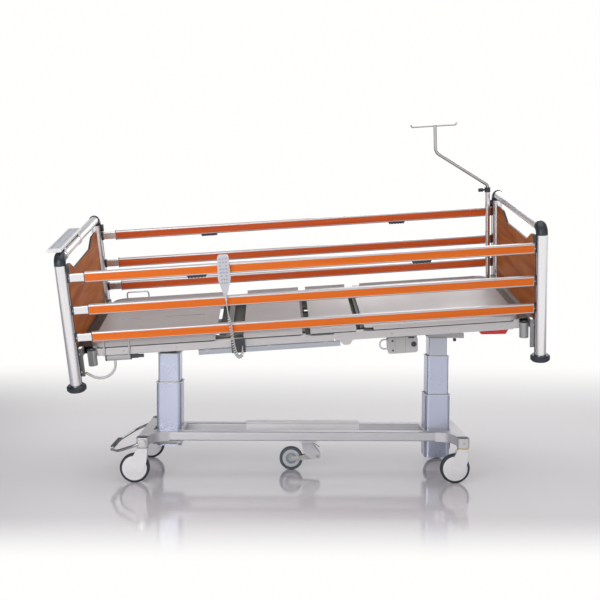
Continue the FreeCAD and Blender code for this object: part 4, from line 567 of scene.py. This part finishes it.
def raise_rim(shape, before, wall, height):
    """Keeps a rim of one wall from the faces that are new, and raises it."""
    middle = [face for face in shape.faces if face not in before]
    bmesh.ops.inset_region(shape, faces=middle, thickness=wall, use_boundary=True, use_even_offset=True)
    bmesh.ops.delete(shape, geom=middle, context="FACES_ONLY")
    rim = [face for face in shape.faces if face not in before]
    raised = bmesh.ops.extrude_face_region(shape, geom=rim)["geom"]
    bmesh.ops.translate(shape, vec=(0, 0, height), verts=vertices_in(raised))


print("helpers ready")

# %% [markdown]
# Screw and pin heads tell the eye how big a thing is.
# Each is a low round cap, bevelled, set on the face of the piece that it holds.

# %% Screws, caps and pin heads
HOUSING_MIDDLE = 207
HOUSING_END = 28
HOUSING_SIDE = 31
heads = bmesh.new()
for end, way in (("foot", -1), ("head", 1)):
    for y in (SWIVEL["near"], SWIVEL["far"]):
        disc(heads, (SWIVEL[end] + way * HOUSING_END, y, HOUSING_MIDDLE), "x", 7, 3, 1)
for x in (SWIVEL["foot"], SWIVEL["head"]):
    for way in (-1, 1):
        disc(heads, (x, way * (SWIVEL["far"] + HOUSING_SIDE), HOUSING_MIDDLE), "y", 6, 3, 1)
make_piece("housing_screws", heads, BASE, "base", steel)

for end, side in CORNERS:
    caps = bmesh.new()
    x = SWIVEL[end] - TRAIL
    y = SWIVEL[side]
    for way in (-1, 1):
        disc(caps, (x, y + way * 24, AXLE_HEIGHT), "y", 9, 3, 1.2)
    make_piece(f"axle_caps_{end}_{side}", caps, BASE, f"caster_fork_{end}_{side}", white_moulding)

pins = bmesh.new()
for way in (-1, 1):
    disc(pins, (FOOT_COLUMN, way * 52, 682.3), "y", 13, 3.4, 1.2)
make_piece("foot_pivot_caps", pins, BASE, "foot_column_inner", steel)
print("caps made")

# %% [markdown]
# The hand control is a white shell with small rounded keys.
# They lie in three columns, closer together on the narrow lower part, and stand for the plain CAD ones.

# %% Handset keys
SHELL_FRONT = -500.1
KEY_LINES = 8
WIDE_LINES = 5
TOP_KEY = 417
KEY_STEP = 16.5
keys = bmesh.new()
for line in range(KEY_LINES):
    for column in (-1, 0, 1):
        if column == 0 and line % 3 == 2:
            continue
        x = -371 + column * (14 if line < WIDE_LINES else 11.5)
        z = TOP_KEY - line * KEY_STEP
        block(keys, (x - 4.2, x + 4.2), (SHELL_FRONT - 1.6, SHELL_FRONT + 0.5), (z - 3.4, z + 3.4), 1.2)
key_piece = make_piece("handset_key_caps", keys, DECK, "guard_rail_near_upper", key_blue)
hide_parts("handset_keys")

# %% [markdown]
# The hand control hangs from a curly cord, which ends in a plug on the side of the frame.
# Its route is one smooth NURBS curve, whose last points are in the plug.
# The wire winds round that curve as a helix, and runs straight where it leaves the grip and the plug.
# The grip moves down with its rail, while the cord's mesh stays where it is laid.

# %% The cords
CORD_WIRE = 5.4
CORD_WINDING = 6.9
TURNS_PITCH = 12.5
STRAIGHT_AT_GRIP = 62
STRAIGHT_AT_PLUG = 22
STEPS_A_TURN = 14
EASE_TURNS = 3
HANDSET_ROUTE = [(-371, -487.1, 211), (-371, -487.1, 186), (-363, -493, 100), (-357, -500, 45),
                 (-353, -504, -8), (-347, -497, -55), (-333, -474, -84), (-316, -446, -80),
                 (-316, -428, -50), (-316, -400, -50)]
PANEL_THICK = 0.013
PANEL_ROUTE = [(-950, -371, -92), (-949, -375, -112), (-957, -384, -140), (-980, -392, -162),
               (-1014, -398, -172), (-1048, -404, -165), (-1073, -408, -148), (-1092, -412, -132)]


def smooth_curve(name, points, radius=0.0, resolution=12):
    """A NURBS curve through the scene that leaves and arrives at its end points."""
    data = bpy.data.curves.new(name, "CURVE")
    data.dimensions = "3D"
    data.resolution_u = resolution
    data.bevel_depth = radius
    data.bevel_resolution = 3
    data.use_fill_caps = True
    spline = data.splines.new("NURBS")
    spline.points.add(len(points) - 1)
    for spot, place in zip(spline.points, points):
        spot.co = (*place, 1)
    spline.order_u = 3
    spline.use_endpoint_u = True
    return add_object(name, data)


def mesh_of(curve):
    """The mesh of a curve, as Blender works it out."""
    bpy.context.view_layer.update()
    return bpy.data.meshes.new_from_object(curve.evaluated_get(bpy.context.evaluated_depsgraph_get()))


def points_along(curve):
    """The points of a curve that has no bevel."""
    return [vertex.co.copy() for vertex in mesh_of(curve).vertices]


def path_length(points):
    """The length of a row of points."""
    return sum((after - before).length for before, after in zip(points, points[1:]))


def at_distance(points, distance):
    """The place and the direction at a distance along a row of points."""
    for before, after in zip(points, points[1:]):
        step = (after - before).length
        if distance <= step:
            return before.lerp(after, distance / step), (after - before).normalized()
        distance -= step
    return points[-1].copy(), (points[-1] - points[-2]).normalized()


route_curve = smooth_curve("handset_route", [DECK @ Vector(place) for place in HANDSET_ROUTE])
route = points_along(route_curve)
bpy.data.objects.remove(route_curve)
route_length = path_length(route)
turns = (route_length * 1000 - STRAIGHT_AT_GRIP - STRAIGHT_AT_PLUG) / TURNS_PITCH
steps = int(turns * STEPS_A_TURN)
side = Vector((1, 0, 0))
winding = []
for step in range(steps + 1):
    share = step / steps
    distance = (STRAIGHT_AT_GRIP + share * turns * TURNS_PITCH) / 1000
    middle, ahead = at_distance(route, distance)
    side = (side - side.dot(ahead) * ahead).normalized()
    across = ahead.cross(side)
    ease = min(1, share * turns / EASE_TURNS, (1 - share) * turns / EASE_TURNS)
    angle = 2 * math.pi * step / STEPS_A_TURN
    offset = side * math.cos(angle) + across * math.sin(angle)
    winding.append(middle + offset * (CORD_WINDING / 1000) * ease)
lead = [at_distance(route, distance / 1000)[0] for distance in (0, 12, 24, 36, 48)]
tail = [at_distance(route, route_length - distance / 1000)[0] for distance in (12, 0)]
cord_curve = smooth_curve("handset_winding", lead + winding + tail, resolution=1)
cord_path = points_along(cord_curve)
cord_curve.data.bevel_depth = CORD_WIRE / 2000
cord_mesh = mesh_of(cord_curve)
bpy.data.objects.remove(cord_curve)
cord_mesh.materials.clear()
cord_mesh.materials.append(sheath)
for face in cord_mesh.polygons:
    face.use_smooth = True
handset_lead = add_object("handset_lead", cord_mesh)
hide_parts("handset_cord")
cord_length = path_length(cord_path)
tuple(cord_path[0])
[tuple(place) for place in cord_path]
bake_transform(handset_lead)
print("curly cord: route", round(route_length, 3), "wire", round(cord_length, 3), "turns", round(turns))

panel_line = smooth_curve("panel_lead", [DECK @ Vector(place) for place in PANEL_ROUTE])
panel_length = path_length(points_along(panel_line))
panel_line.data.bevel_depth = PANEL_THICK / 2
panel_line.data.materials.append(sheath)
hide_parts("panel_cable")
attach(panel_line, "platform")
print("panel cable", round(panel_length, 3))

# %% [markdown]
# Each column stage slides through a thin wiper seal, a dark line on top of its pale rim.
# The ring is one rounded face, inset by its wall and raised, so it stays a closed shape.

# %% Column seals
MIDDLE = (114, 132, 13)
INNER = (96, 114, 6.5)
SEAL_ROOM = 4
SEAL_WALL = 2.6
SEAL_HEIGHT = 0.7


def column_ring(shape, x, length, width, corner, bottom):
    """A raised rounded ring about a column."""
    before = set(shape.faces)
    lay = Matrix.Translation((x, 0, bottom)) @ Matrix.Diagonal((length, width, 1, 1))
    plate = bmesh.ops.create_grid(shape, x_segments=1, y_segments=1, size=0.5, matrix=lay)["verts"]
    bmesh.ops.bevel(shape, geom=plate, offset=corner, offset_type="OFFSET", affect="VERTICES", segments=6,
                    profile=0.5, material=-1, clamp_overlap=True)
    raise_rim(shape, before, SEAL_WALL, SEAL_HEIGHT)


STAGE_TOPS = [("base", FOOT_COLUMN, SLEEVE_TOP["foot"], MIDDLE),
              ("base", HEAD_COLUMN, SLEEVE_TOP["head"], MIDDLE),
              ("foot_column_mid", FOOT_COLUMN, MIDDLE_TOP["foot"], INNER),
              ("head_column_mid", HEAD_COLUMN, MIDDLE_TOP["head"], INNER)]
for count, (body, x, top, (length, width, corner)) in enumerate(STAGE_TOPS):
    seal = bmesh.new()
    column_ring(seal, x, length + 2 * SEAL_ROOM, width + 2 * SEAL_ROOM, corner + SEAL_ROOM, top - 0.1)
    make_piece(f"column_seal_{count + 1}", seal, BASE, body, seal_black)
print("column seals made")

# %% [markdown]
# The deck panels end in rounded corners, whose skirt follows the turned edge along the sides.
# A quad is spun a quarter turn round the corner for it. A black gasket runs under the edge, along and round.

# %% Deck skirts and gaskets
CORNER = 60
FOOT_CORNER = -999
HEAD_CORNER = 992
GASKET_BAND = (-17.5, -13.8)


def quarter(shape, centre_x, way, radius, thick, low, high):
    """A band round one deck corner on the near side, from the side to the end."""
    centre = (centre_x, -(SHEET_EDGE - CORNER), 0)
    section = (Matrix.Translation((centre_x, centre[1] - radius - thick / 2, (low + high) / 2))
               @ Matrix.Diagonal((1, thick, high - low, 1)) @ AXIS_TURN["x"])
    face = bmesh.ops.create_grid(shape, x_segments=1, y_segments=1, size=0.5, matrix=section)["verts"]
    geometry = face + edges_of(face) + list({each for vertex in face for each in vertex.link_faces})
    bmesh.ops.spin(shape, geom=geometry, cent=centre, axis=(0, 0, 1), angle=way * QUARTER_TURN, steps=14,
                   use_merge=False)


for panel, centre_x, way in (("foot_section", FOOT_CORNER, -1), ("back_section", HEAD_CORNER, 1)):
    skirt = bmesh.new()
    quarter(skirt, centre_x, way, CORNER, 3, -14, 8)
    mirror_y(skirt)
    # The back section's skirts take the lighter frame coat as painted light, like its turned edge.
    make_piece(f"{panel}_skirts", skirt, DECK, panel, deck_coat if way < 0 else frame_coat)
GASKETS = {"foot_section": (FOOT_CORNER, -448), "thigh_section": (-306, -22), "seat_panel": (22, 243),
           "back_section": (330, HEAD_CORNER)}
for panel, (start, stop) in GASKETS.items():
    gasket = bmesh.new()
    block(gasket, (start, stop), (-393.6, -390.4), GASKET_BAND, 0.8)
    if panel == "foot_section":
        quarter(gasket, start, -1, CORNER + 0.4, 3.2, *GASKET_BAND)
    if panel == "back_section":
        quarter(gasket, stop, 1, CORNER + 0.4, 3.2, *GASKET_BAND)
    mirror_y(gasket)
    body = "platform" if panel == "seat_panel" else panel
    make_piece(f"{panel}_gasket", gasket, DECK, body, seal_black)
print("skirts and gaskets made")

# %% [markdown]
# Dark trays under the gaps between the panels are painted shade, so that the gaps read dark. A dark strip at
# the foot end is painted shade too, and a grey strip closes the head end.
# They are thin folded sheets, and leave room for the levers that pass through.

# %% Trays under the gaps
TRAY_BOTTOM = -65
TRAY_SHEET = 2.5
TRAY_LIP = 11
TRAYS = [((-444, -310), (-350, 350)), ((-26, 26), (-350, 120)), ((-26, 26), (180, 350)),
         ((238, 298), (-350, -232)), ((238, 298), (-168, 350))]
trays = bmesh.new()
for x, y in TRAYS:
    block(trays, x, y, (TRAY_BOTTOM, TRAY_BOTTOM + TRAY_SHEET), 0.8)
    for edge in y:
        block(trays, x, (edge - 1, edge + 1), (TRAY_BOTTOM, TRAY_BOTTOM + TRAY_LIP), 0.5)
make_piece("gap_shade_trays", trays, DECK, "platform", shade_in_gaps)
# The foot strip is painted shade: a dark sheet where the gap between deck and board lies in shadow. The head
# strip is cast grey.
for end, x in (("foot", (-1128.5, -1100.4)), ("head", (1100.4, 1128.5))):
    strip = bmesh.new()
    block(strip, x, (-355, 355), (-16, -12), 1)
    make_piece(f"end_strip_{end}", strip, DECK, "platform", foot_end_shade if end == "foot" else cast_grey)
print("trays made")

# %% [markdown]
# The control panel on the foot end bar has a membrane with two rows of plain keys and a row of small lamps.
# White covers hold its clamps on the bar.

# %% Attendant panel membrane and keys
plate = bmesh.new()
block(plate, (-1180, -1124), (-452, 0), (505.6, 507), 0.6)
make_piece("panel_membrane", plate, DECK, "platform", membrane)
FIRST_PAD = -436
PAD_STEP = 32.5
PAD_COLUMNS = 14
LAMP_LINE = 1
pads = bmesh.new()
for line, x in enumerate((-1166, -1152, -1138)):
    for column in range(PAD_COLUMNS):
        y = FIRST_PAD + column * PAD_STEP
        if line != LAMP_LINE:
            block(pads, (x - 4, x + 4), (y - 9, y + 9), (506.6, 508.4), 0.8)
        elif column % 3 == 1:
            disc(pads, (x, y, 507.3), "z", 2.2, 1.6, 0.5, sides=16)
make_piece("panel_keys", pads, DECK, "platform", key_blue)
arms = bmesh.new()
for y in (-385, -56):
    block(arms, (-1152, -1116), (y - 12, y + 12), (478, 491), 3)
    disc(arms, (-1134, y, 459), "y", 27.5, 22, 3)
make_piece("panel_clamp_covers", arms, DECK, "platform", white_moulding)
print("control panel dressed")

# %% [markdown]
# Under each top elbow a black block joins bar and post, on the side of the mattress.
# Rims line the open pole sockets, and screws hold the corner plates, the frame and the rails.

# %% Corner blocks, collars and screws
blocks = bmesh.new()
for x in (-1100, 1100):
    for y in (-POST_LINE, POST_LINE):
        block(blocks, (x - 7, x + 7), (y - 13, y + 13), (390, 428), 3)
make_piece("elbow_blocks", blocks, DECK, "platform", black_nylon)

SOCKETS = [(-1053, -400), (1069, -400), (-1053, 400)]
SOCKET_TOP = -20.2
COLLAR_RADIUS = 23.4
COLLAR_BORE = 13.2
COLLAR_HEIGHT = 3.2
collars = bmesh.new()
for x, y in SOCKETS:
    before = set(collars.faces)
    bmesh.ops.create_circle(collars, cap_ends=True, segments=40, radius=COLLAR_RADIUS,
                            matrix=Matrix.Translation((x, y, SOCKET_TOP)))
    raise_rim(collars, before, COLLAR_RADIUS - COLLAR_BORE, COLLAR_HEIGHT)
make_piece("socket_rims", collars, DECK, "platform", black_nylon)
screws = bmesh.new()
for x in (-1108, 1108):
    for z in (-30, -122):
        disc(screws, (x, -433.3, z), "y", 5.5, 3, 1, sides=20)
for x in (-494, -186, 94):
    disc(screws, (x, -386.6, -75.5), "y", 5, 3, 1, sides=20)
for x in (-900, -640, 420, 700, 960):
    disc(screws, (x, -388.4, -40), "y", 4.5, 2.4, 0.8, sides=20)
mirror_y(screws)
make_piece("frame_screws", screws, DECK, "platform", steel)
RAIL_FACE = POST_LINE + 11.4
for level, height in RAIL_HEIGHT.items():
    for side, facing in (("near", -1), ("far", 1)):
        ends = bmesh.new()
        for x in (-1100.5, 1100.5):
            disc(ends, (x, facing * RAIL_FACE, height), "y", 3, 2, 0.6, sides=16)
        make_piece(f"rail_screws_{side}_{level}", ends, DECK, f"guard_rail_{side}_{level}", steel)
print("blocks and screws made")

# %% [markdown]
# The back section's actuator is a pale housing with a bright ring at its spindle end and dark caps.
# The foot motor has a ribbed collar.

# %% Actuator details
BACK_LINE = -200
BACK_ROD = -95.7
HOOP_CENTRE = (402, -203, -160)
HOOP_RADIUS = 26
cap = bmesh.new()
disc(cap, (383, BACK_LINE, BACK_ROD), "x", 26.5, 8, 2)
disc(cap, (396, BACK_LINE, BACK_ROD), "x", 24.6, 4, 1)
section = Matrix.Translation(Vector(HOOP_CENTRE) + Vector((0, 0, HOOP_RADIUS))) @ AXIS_TURN["x"]
hoop = bmesh.ops.create_circle(cap, cap_ends=False, segments=12, radius=4.2, matrix=section)["verts"]
bmesh.ops.spin(cap, geom=hoop + edges_of(hoop), cent=HOOP_CENTRE, axis=(0, 1, 0), angle=4 * QUARTER_TURN,
               steps=40, use_merge=True)
make_piece("back_spindle_ring", cap, DECK, "platform", bright_insert)
motor = bmesh.new()
block(motor, (556, 566), (-226, -174), (-122, -90), 4)
block(motor, (520, 553), (-229.5, -170.5), (-128, -119), 3)
disc(motor, (548, -230.5, -160), "y", 14, 6, 2)
for z in (-188, -136):
    disc(motor, (440, -229.4, z), "y", 5, 4, 1, sides=20)
make_piece("back_motor_caps", motor, DECK, "platform", dark_plastic)
seam = bmesh.new()
for x in (452, 506):
    block(seam, (x - 0.8, x + 0.8), (-228.6, -171.4), (-205.2, -119), 0.3, segments=1)
make_piece("back_motor_seams", seam, DECK, "platform", cast_grey)
FOOT_MOTOR = (-371, -76)
ribs = bmesh.new()
for x in range(-862, -834, 5):
    disc(ribs, (x, *FOOT_MOTOR), "x", 10.9, 2.2, 0.7)
disc(ribs, (-869, *FOOT_MOTOR), "x", 16.8, 4, 1)
disc(ribs, (-991, *FOOT_MOTOR), "x", 16.8, 8, 2)
make_piece("foot_motor_ribs", ribs, DECK, "platform", dark_plastic)
print("actuators dressed")

# %% [markdown]
# A swivel castor of this kind has a white cover on each side of its wheel, with a smaller disc on it.
# The fifth wheel has a blue-grey hub, and a white strip lines the inner side of the far base rail.

# %% Castor covers
for end, side in CORNERS:
    cover = bmesh.new()
    x = SWIVEL[end] - TRAIL
    y = SWIVEL[side]
    for way in (-1, 1):
        disc(cover, (x, y + way * 17.1, AXLE_HEIGHT), "y", 58, 3, 1.4, sides=48)
        disc(cover, (x, y + way * 18.7, AXLE_HEIGHT), "y", 34, 2, 0.9, sides=40)
    make_piece(f"wheel_cover_{end}_{side}", cover, BASE, f"caster_wheel_{end}_{side}", white_moulding)
hub = bmesh.new()
for way in (-1, 1):
    disc(hub, (FIFTH_X, way * 11.4, FIFTH_HEIGHT), "y", 30, 2.4, 1, sides=40)
    disc(hub, (FIFTH_X, way * 14.2, FIFTH_HEIGHT), "y", 12, 5, 1.2, sides=24)
make_piece("fifth_wheel_hub", hub, BASE, "fifth_wheel", hub_blue)
liner = bmesh.new()
block(liner, (-305, 312), (87.6, 89.9), (185, 230), 0.8)
make_piece("base_rail_liner", liner, BASE, "base", white_moulding)
print("castors covered")

# %% [markdown]
# The floor is one flat sheet, pale and glossy, so that the castors mirror in it.
# To the camera and to reflections it turns plain white away from the bed, round about and toward the front.
# To the lamps it stays a surface, so it keeps the bed's shadow.

# %% The floor
WHITE = (1, 0.995, 0.985, 1)
FLOOR_COLOUR = (0.78, 0.75, 0.785, 1)
FLOOR_ROUGHNESS = 0.1
FADE_ROUND = (1.3, 4.4)
FADE_FRONT = (-0.8, -1.45)
floor_shape = bmesh.new()
bmesh.ops.create_grid(floor_shape, x_segments=1, y_segments=1, size=1.0,
                      matrix=Matrix.Translation((0, 4, -0.0005)) @ Matrix.Diagonal((22, 18, 1, 1)))
floor_mesh = bpy.data.meshes.new("floor")
floor_shape.to_mesh(floor_mesh)
floor_shape.free()
floor = add_object("floor", floor_mesh)

floor_material = bpy.data.materials.new("pale floor")
floor_material.use_nodes = True
tree = floor_material.node_tree
shader = tree.nodes["Principled BSDF"]
shader.inputs["Roughness"].default_value = FLOOR_ROUGHNESS
shader.inputs["Base Color"].default_value = FLOOR_COLOUR
place = tree.nodes.new("ShaderNodeTexCoord").outputs["Object"]
shift = add_node(tree, "ShaderNodeMapping", vector_type="POINT", Location=(0.0, -0.5, 0.0),
                 Scale=(0.42, 1.0, 1.0))
tree.links.new(place, shift.inputs["Vector"])
distance = add_node(tree, "ShaderNodeVectorMath", operation="LENGTH")
tree.links.new(shift.outputs["Vector"], distance.inputs[0])
parts = tree.nodes.new("ShaderNodeSeparateXYZ")
tree.links.new(place, parts.inputs["Vector"])
fade = joined(tree, "MAXIMUM",
              spread_value(tree, distance.outputs["Value"], *FADE_ROUND, 0.0, 1.0, ease="SMOOTHSTEP"),
              spread_value(tree, parts.outputs["Y"], *FADE_FRONT, 0.0, 1.0, ease="SMOOTHSTEP"))
rays = tree.nodes.new("ShaderNodeLightPath")
seen = joined(tree, "MAXIMUM", rays.outputs["Is Camera Ray"], rays.outputs["Is Glossy Ray"])
glow = tree.nodes.new("ShaderNodeEmission")
glow.inputs["Color"].default_value = WHITE
blended = tree.nodes.new("ShaderNodeMixShader")
tree.links.new(joined(tree, "MULTIPLY", seen, fade), blended.inputs["Fac"])
tree.links.new(shader.outputs["BSDF"], blended.inputs[1])
tree.links.new(glow.outputs["Emission"], blended.inputs[2])
tree.links.new(blended.outputs["Shader"], tree.nodes["Material Output"].inputs["Surface"])
floor_mesh.materials.append(floor_material)
print("floor laid")

# %% [markdown]
# Studio light: a broad lamp overhead, one from the front left and one behind for the rails' upper edges.
# The world is plain white to the camera. To other rays it is darker overhead and to the left and right,
# so that round metal shows light and dark bands.

# %% Lamps and world
def lamp(name, place, aim, width, height, power):
    """A rectangular lamp at a place, turned to an aim."""
    data = bpy.data.lights.new(name, "AREA")
    data.shape = "RECTANGLE"
    data.size = width
    data.size_y = height
    data.energy = power
    light = add_object(name, data)
    turn = (Vector(aim) - Vector(place)).to_track_quat("-Z", "Y")
    light.matrix_world = Matrix.Translation(place) @ turn.to_matrix().to_4x4()


lamp("overhead", (0, -0.5, 4.2), (0, 0, 0.8), 4.5, 3.0, 68)
lamp("front", (-2.0, -4.4, 1.7), (0, 0, 0.6), 2.8, 2.2, 84)
lamp("behind", (1.5, 3.5, 3.0), (0, 0, 0.9), 3.0, 1.5, 35)

FILL = 0.75
BANDS = [(0.25, (0.10, 0.11, 0.14, 1)), (0.40, WHITE), (0.80, WHITE), (0.93, (0.32, 0.32, 0.34, 1))]
OVERHEAD = 0.30
world = bpy.data.worlds.new("studio")
bpy.context.scene.world = world
world.use_nodes = True
sky = world.node_tree
background = sky.nodes["Background"]
paths = sky.nodes.new("ShaderNodeLightPath")
seen = joined(sky, "MAXIMUM", paths.outputs["Is Camera Ray"], paths.outputs["Is Glossy Ray"])
sky.links.new(spread_value(sky, seen, 0.0, 1.0, FILL, 1.0), background.inputs["Strength"])
axes = sky.nodes.new("ShaderNodeSeparateXYZ")
sky.links.new(sky.nodes.new("ShaderNodeTexCoord").outputs["Generated"], axes.inputs["Vector"])
sides = sky.nodes.new("ShaderNodeValToRGB")
ramp = sides.color_ramp
ramp.interpolation = "EASE"
while len(ramp.elements) < len(BANDS):
    ramp.elements.new(1.0)
for stop, (position, colour) in zip(ramp.elements, BANDS):
    stop.position = position
    stop.color = colour
sky.links.new(spread_value(sky, axes.outputs["X"], -1.0, 1.0, 0.0, 1.0), sides.inputs["Fac"])
shaded = add_node(sky, "ShaderNodeVectorMath", operation="SCALE")
sky.links.new(sides.outputs["Color"], shaded.inputs[0])
sky.links.new(spread_value(sky, axes.outputs["Z"], 0.25, 0.85, 1.0, OVERHEAD), shaded.inputs["Scale"])
plain = add_node(sky, "ShaderNodeVectorMath", operation="SCALE")
plain.inputs[0].default_value = WHITE[:3]
sky.links.new(paths.outputs["Is Camera Ray"], plain.inputs["Scale"])
lighter = add_node(sky, "ShaderNodeVectorMath", operation="MAXIMUM")
sky.links.new(shaded.outputs["Vector"], lighter.inputs[0])
sky.links.new(plain.outputs["Vector"], lighter.inputs[1])
sky.links.new(lighter.outputs["Vector"], background.inputs["Color"])
print("lamps and world set")
